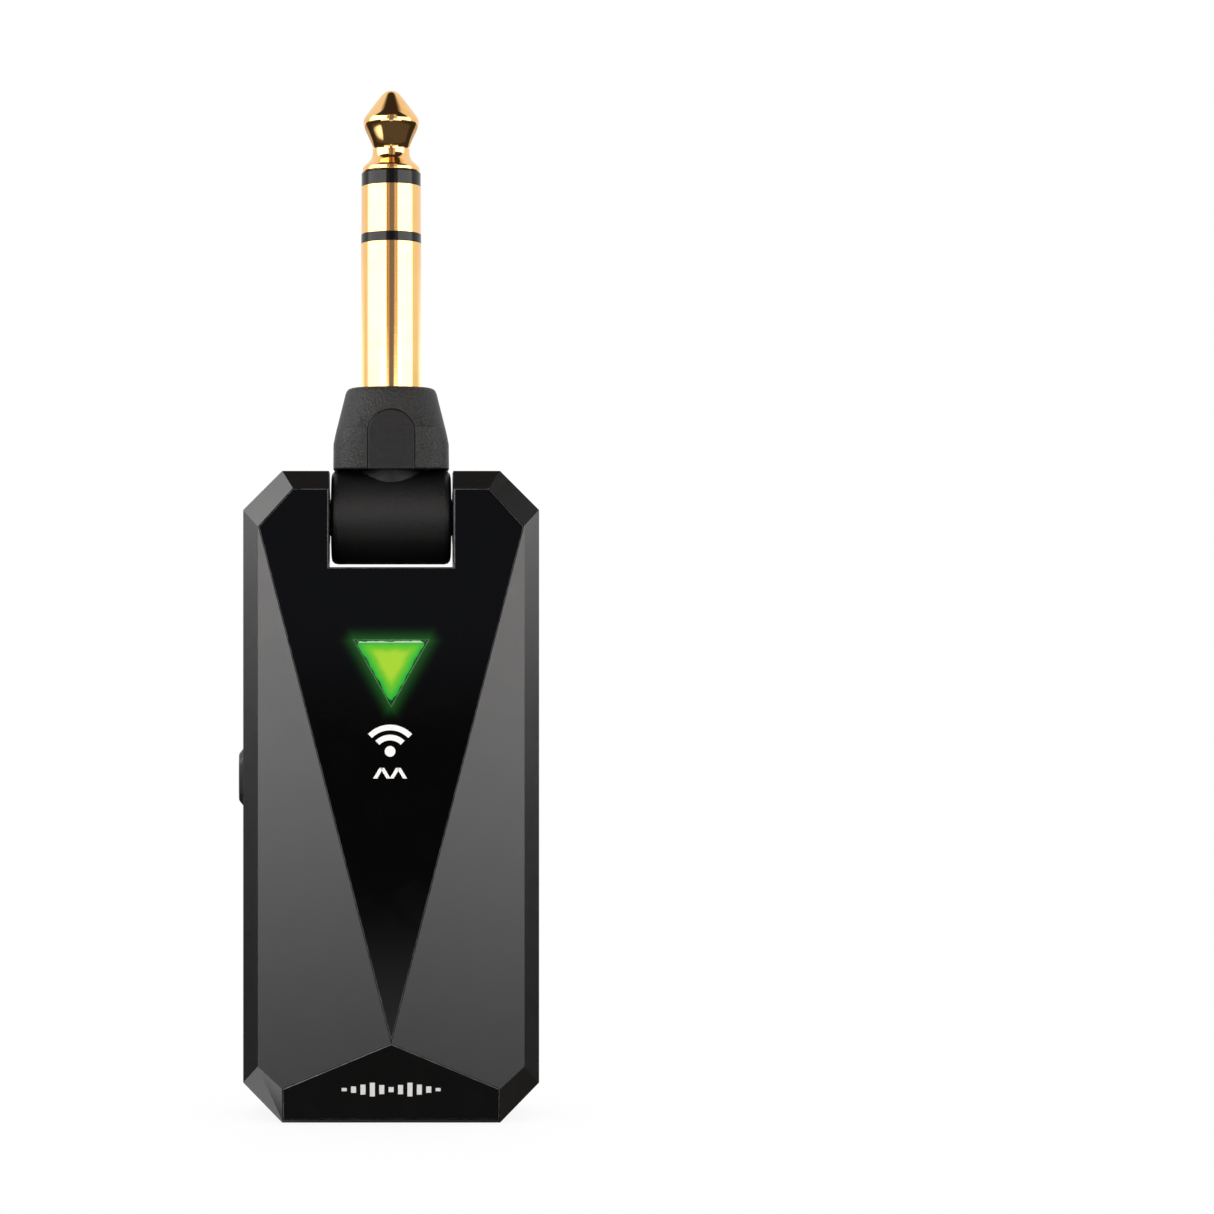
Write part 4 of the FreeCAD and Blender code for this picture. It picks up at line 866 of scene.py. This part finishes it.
# ------------------------------------------------------------------ studio
# A white table and a white sweep behind it, two long soft boxes beside the camera, and a
# dark room above and behind the camera, which the black plates mirror.
floor_height = -76.5
bm = bmesh.new()
bmesh.ops.create_grid(bm, x_segments=1, y_segments=1, size=6.0)
bmesh.ops.translate(bm, verts=bm.verts, vec=(0, 0, (floor_height - 0.02) * MM))
mesh = bpy.data.meshes.new("floor")
bm.to_mesh(mesh)
bm.free()
floor = bpy.data.objects.new("floor", mesh)
bpy.context.scene.collection.objects.link(floor)
floor.visible_glossy = False
floor.visible_diffuse = False
floor.visible_transmission = False
paper = bpy.data.materials.new("white_paper")
paper.use_nodes = True
tree = paper.node_tree
tree.nodes.clear()
# The floor shines evenly white, and a painted contact shadow, taken from ambient occlusion, darkens it near
# the object.
shade = node(tree, "AmbientOcclusion", {"Distance": 0.05}, samples=8)
soft = between(tree, shade.outputs["AO"], 0.0, 0.9, 0.90, 1.0)
glowing = node(tree, "Emission", {"Color": soft, "Strength": 1.0})
node(tree, "OutputMaterial", {"Surface": glowing.outputs[0]})
mesh.materials.append(paper)

world = bpy.data.worlds.new("studio")
bpy.context.scene.world = world
world.use_nodes = True
tree = world.node_tree
tree.nodes.clear()
parts = node(tree, "SeparateXYZ", {0: node(tree, "TexCoord").outputs["Generated"]}).outputs
toward = math_of(tree, "MULTIPLY", parts["Y"], -1.0)
turn = math_of(tree, "MULTIPLY", math_of(tree, "ARCTAN2", parts["X"], toward), 180 / math.pi)
lift = math_of(tree, "MULTIPLY", math_of(tree, "ARCSINE", parts["Z"]), 180 / math.pi)


def window_in(value, low, high, soft_low, soft_high):
    """1 between two angles, fading over soft degrees outside them."""
    rise = between(tree, value, low - soft_low, low)
    fall = between(tree, value, high, high + soft_high, 1.0, 0.0)
    return math_of(tree, "MULTIPLY", rise, fall)


# Each panel of light has a colour, a strength, and its place in degrees across and up, each
# given as the lowest and the highest angle and how far it fades out below and above them.
plain_white = (1.0, 1.0, 1.0)
box_white = (1.0, 0.995, 0.99)
table_white = (1.0, 0.97, 0.92)
floor_white = (1.0, 0.98, 0.95)
panels = (
    (box_white, 3.7, (-88, -20, 18, 2), (6, 38, 6, 9)),                     # left soft box
    (box_white, 3.7, (27, 78, 2, 16), (4, 24, 6, 6)),                       # right soft box
    (plain_white, 3.5, (-40, -13, 6, 6), (2, 3, 13.5, 3)),                  # left card
    (plain_white, 3.6, (13, 40, 6, 6), (2, 3, 13.5, 3)),                    # right card
    (plain_white, 0.9, (-6, 6, 3, 3), (-12, -5.4, 3, 3.5)),                 # paper under the lens
    (plain_white, 2.0, (-110, -55, 10, 10), (-62, -34, 10, 10)),            # table at the left
    (plain_white, 0.9, (84, 181, 8, 1), (5, 60, 3, 15)),                    # sweep, right
    (plain_white, 0.9, (-181, -98, 1, 10), (5, 60, 3, 15)),                 # sweep, left
    (table_white, 0.55, (135, 181, 12, 1), (-55, 5, 6, 3)),                 # table behind, right
    (table_white, 0.55, (-181, -135, 1, 12), (-55, 5, 6, 3)),               # table behind, left
    ((1.0, 0.60, 0.38), 0.52, (-19, -8, 2, 2), (4, 50, 3, 8)),              # warm wall, left
    ((0.9, 1.0, 1.3), 0.19, (-8, 14, 2, 2), (4, 50, 3, 8)),                 # dim room
    ((1.0, 0.72, 0.55), 0.75, (14, 26, 2, 2), (4, 50, 3, 8)),               # warm wall, right
    (floor_white, 0.05, (-90, 90, 10, 10), (-50, -20, 1, 6)),               # floor before the table
    (floor_white, 0.6, (-181, 181, 1, 1), (-91, -55, 1, 6)),                # table
)
light = node(tree, "CombineXYZ", {0: 0.038, 1: 0.031, 2: 0.027}).outputs[0]
for colour, strength, turns, lifts in panels:
    share = math_of(tree, "MULTIPLY", window_in(turn, *turns), window_in(lift, *lifts))
    share = math_of(tree, "MULTIPLY", share, strength)
    panel = node(tree, "VectorMath", {0: colour, "Scale": share}, operation="SCALE").outputs[0]
    light = node(tree, "VectorMath", {0: light, 1: panel}).outputs[0]
room = node(tree, "Background", {"Color": light, "Strength": 1.0})
white = node(tree, "Background", {"Color": (1, 1, 1, 1), "Strength": 1.0})
seen = node(tree, "LightPath").outputs["Is Camera Ray"]
both = node(tree, "MixShader", {0: seen, 1: room.outputs[0], 2: white.outputs[0]})
node(tree, "OutputWorld", {"Surface": both.outputs[0]})
world.cycles.sampling_method = "MANUAL"
world.cycles.sample_map_resolution = 512

# ------------------------------------------------------------------ camera
# It looks straight at the front from 275 mm away, 23 mm below the plug's shoulder, and
# is shifted so that the object stands in the left part of the picture.
camera_data = bpy.data.cameras.new("camera")
camera_data.sensor_width = 36
camera_data.lens = 77.2
camera_data.shift_x = 0.1778
camera_data.clip_start = 0.01
camera_data.clip_end = 20
camera = bpy.data.objects.new("camera", camera_data)
camera.location = (0, -0.275, -0.02304)
camera.rotation_euler = (math.radians(90), 0, 0)
bpy.context.scene.collection.objects.link(camera)
bpy.context.scene.camera = camera
bpy.context.scene.view_settings.view_transform = "Standard"
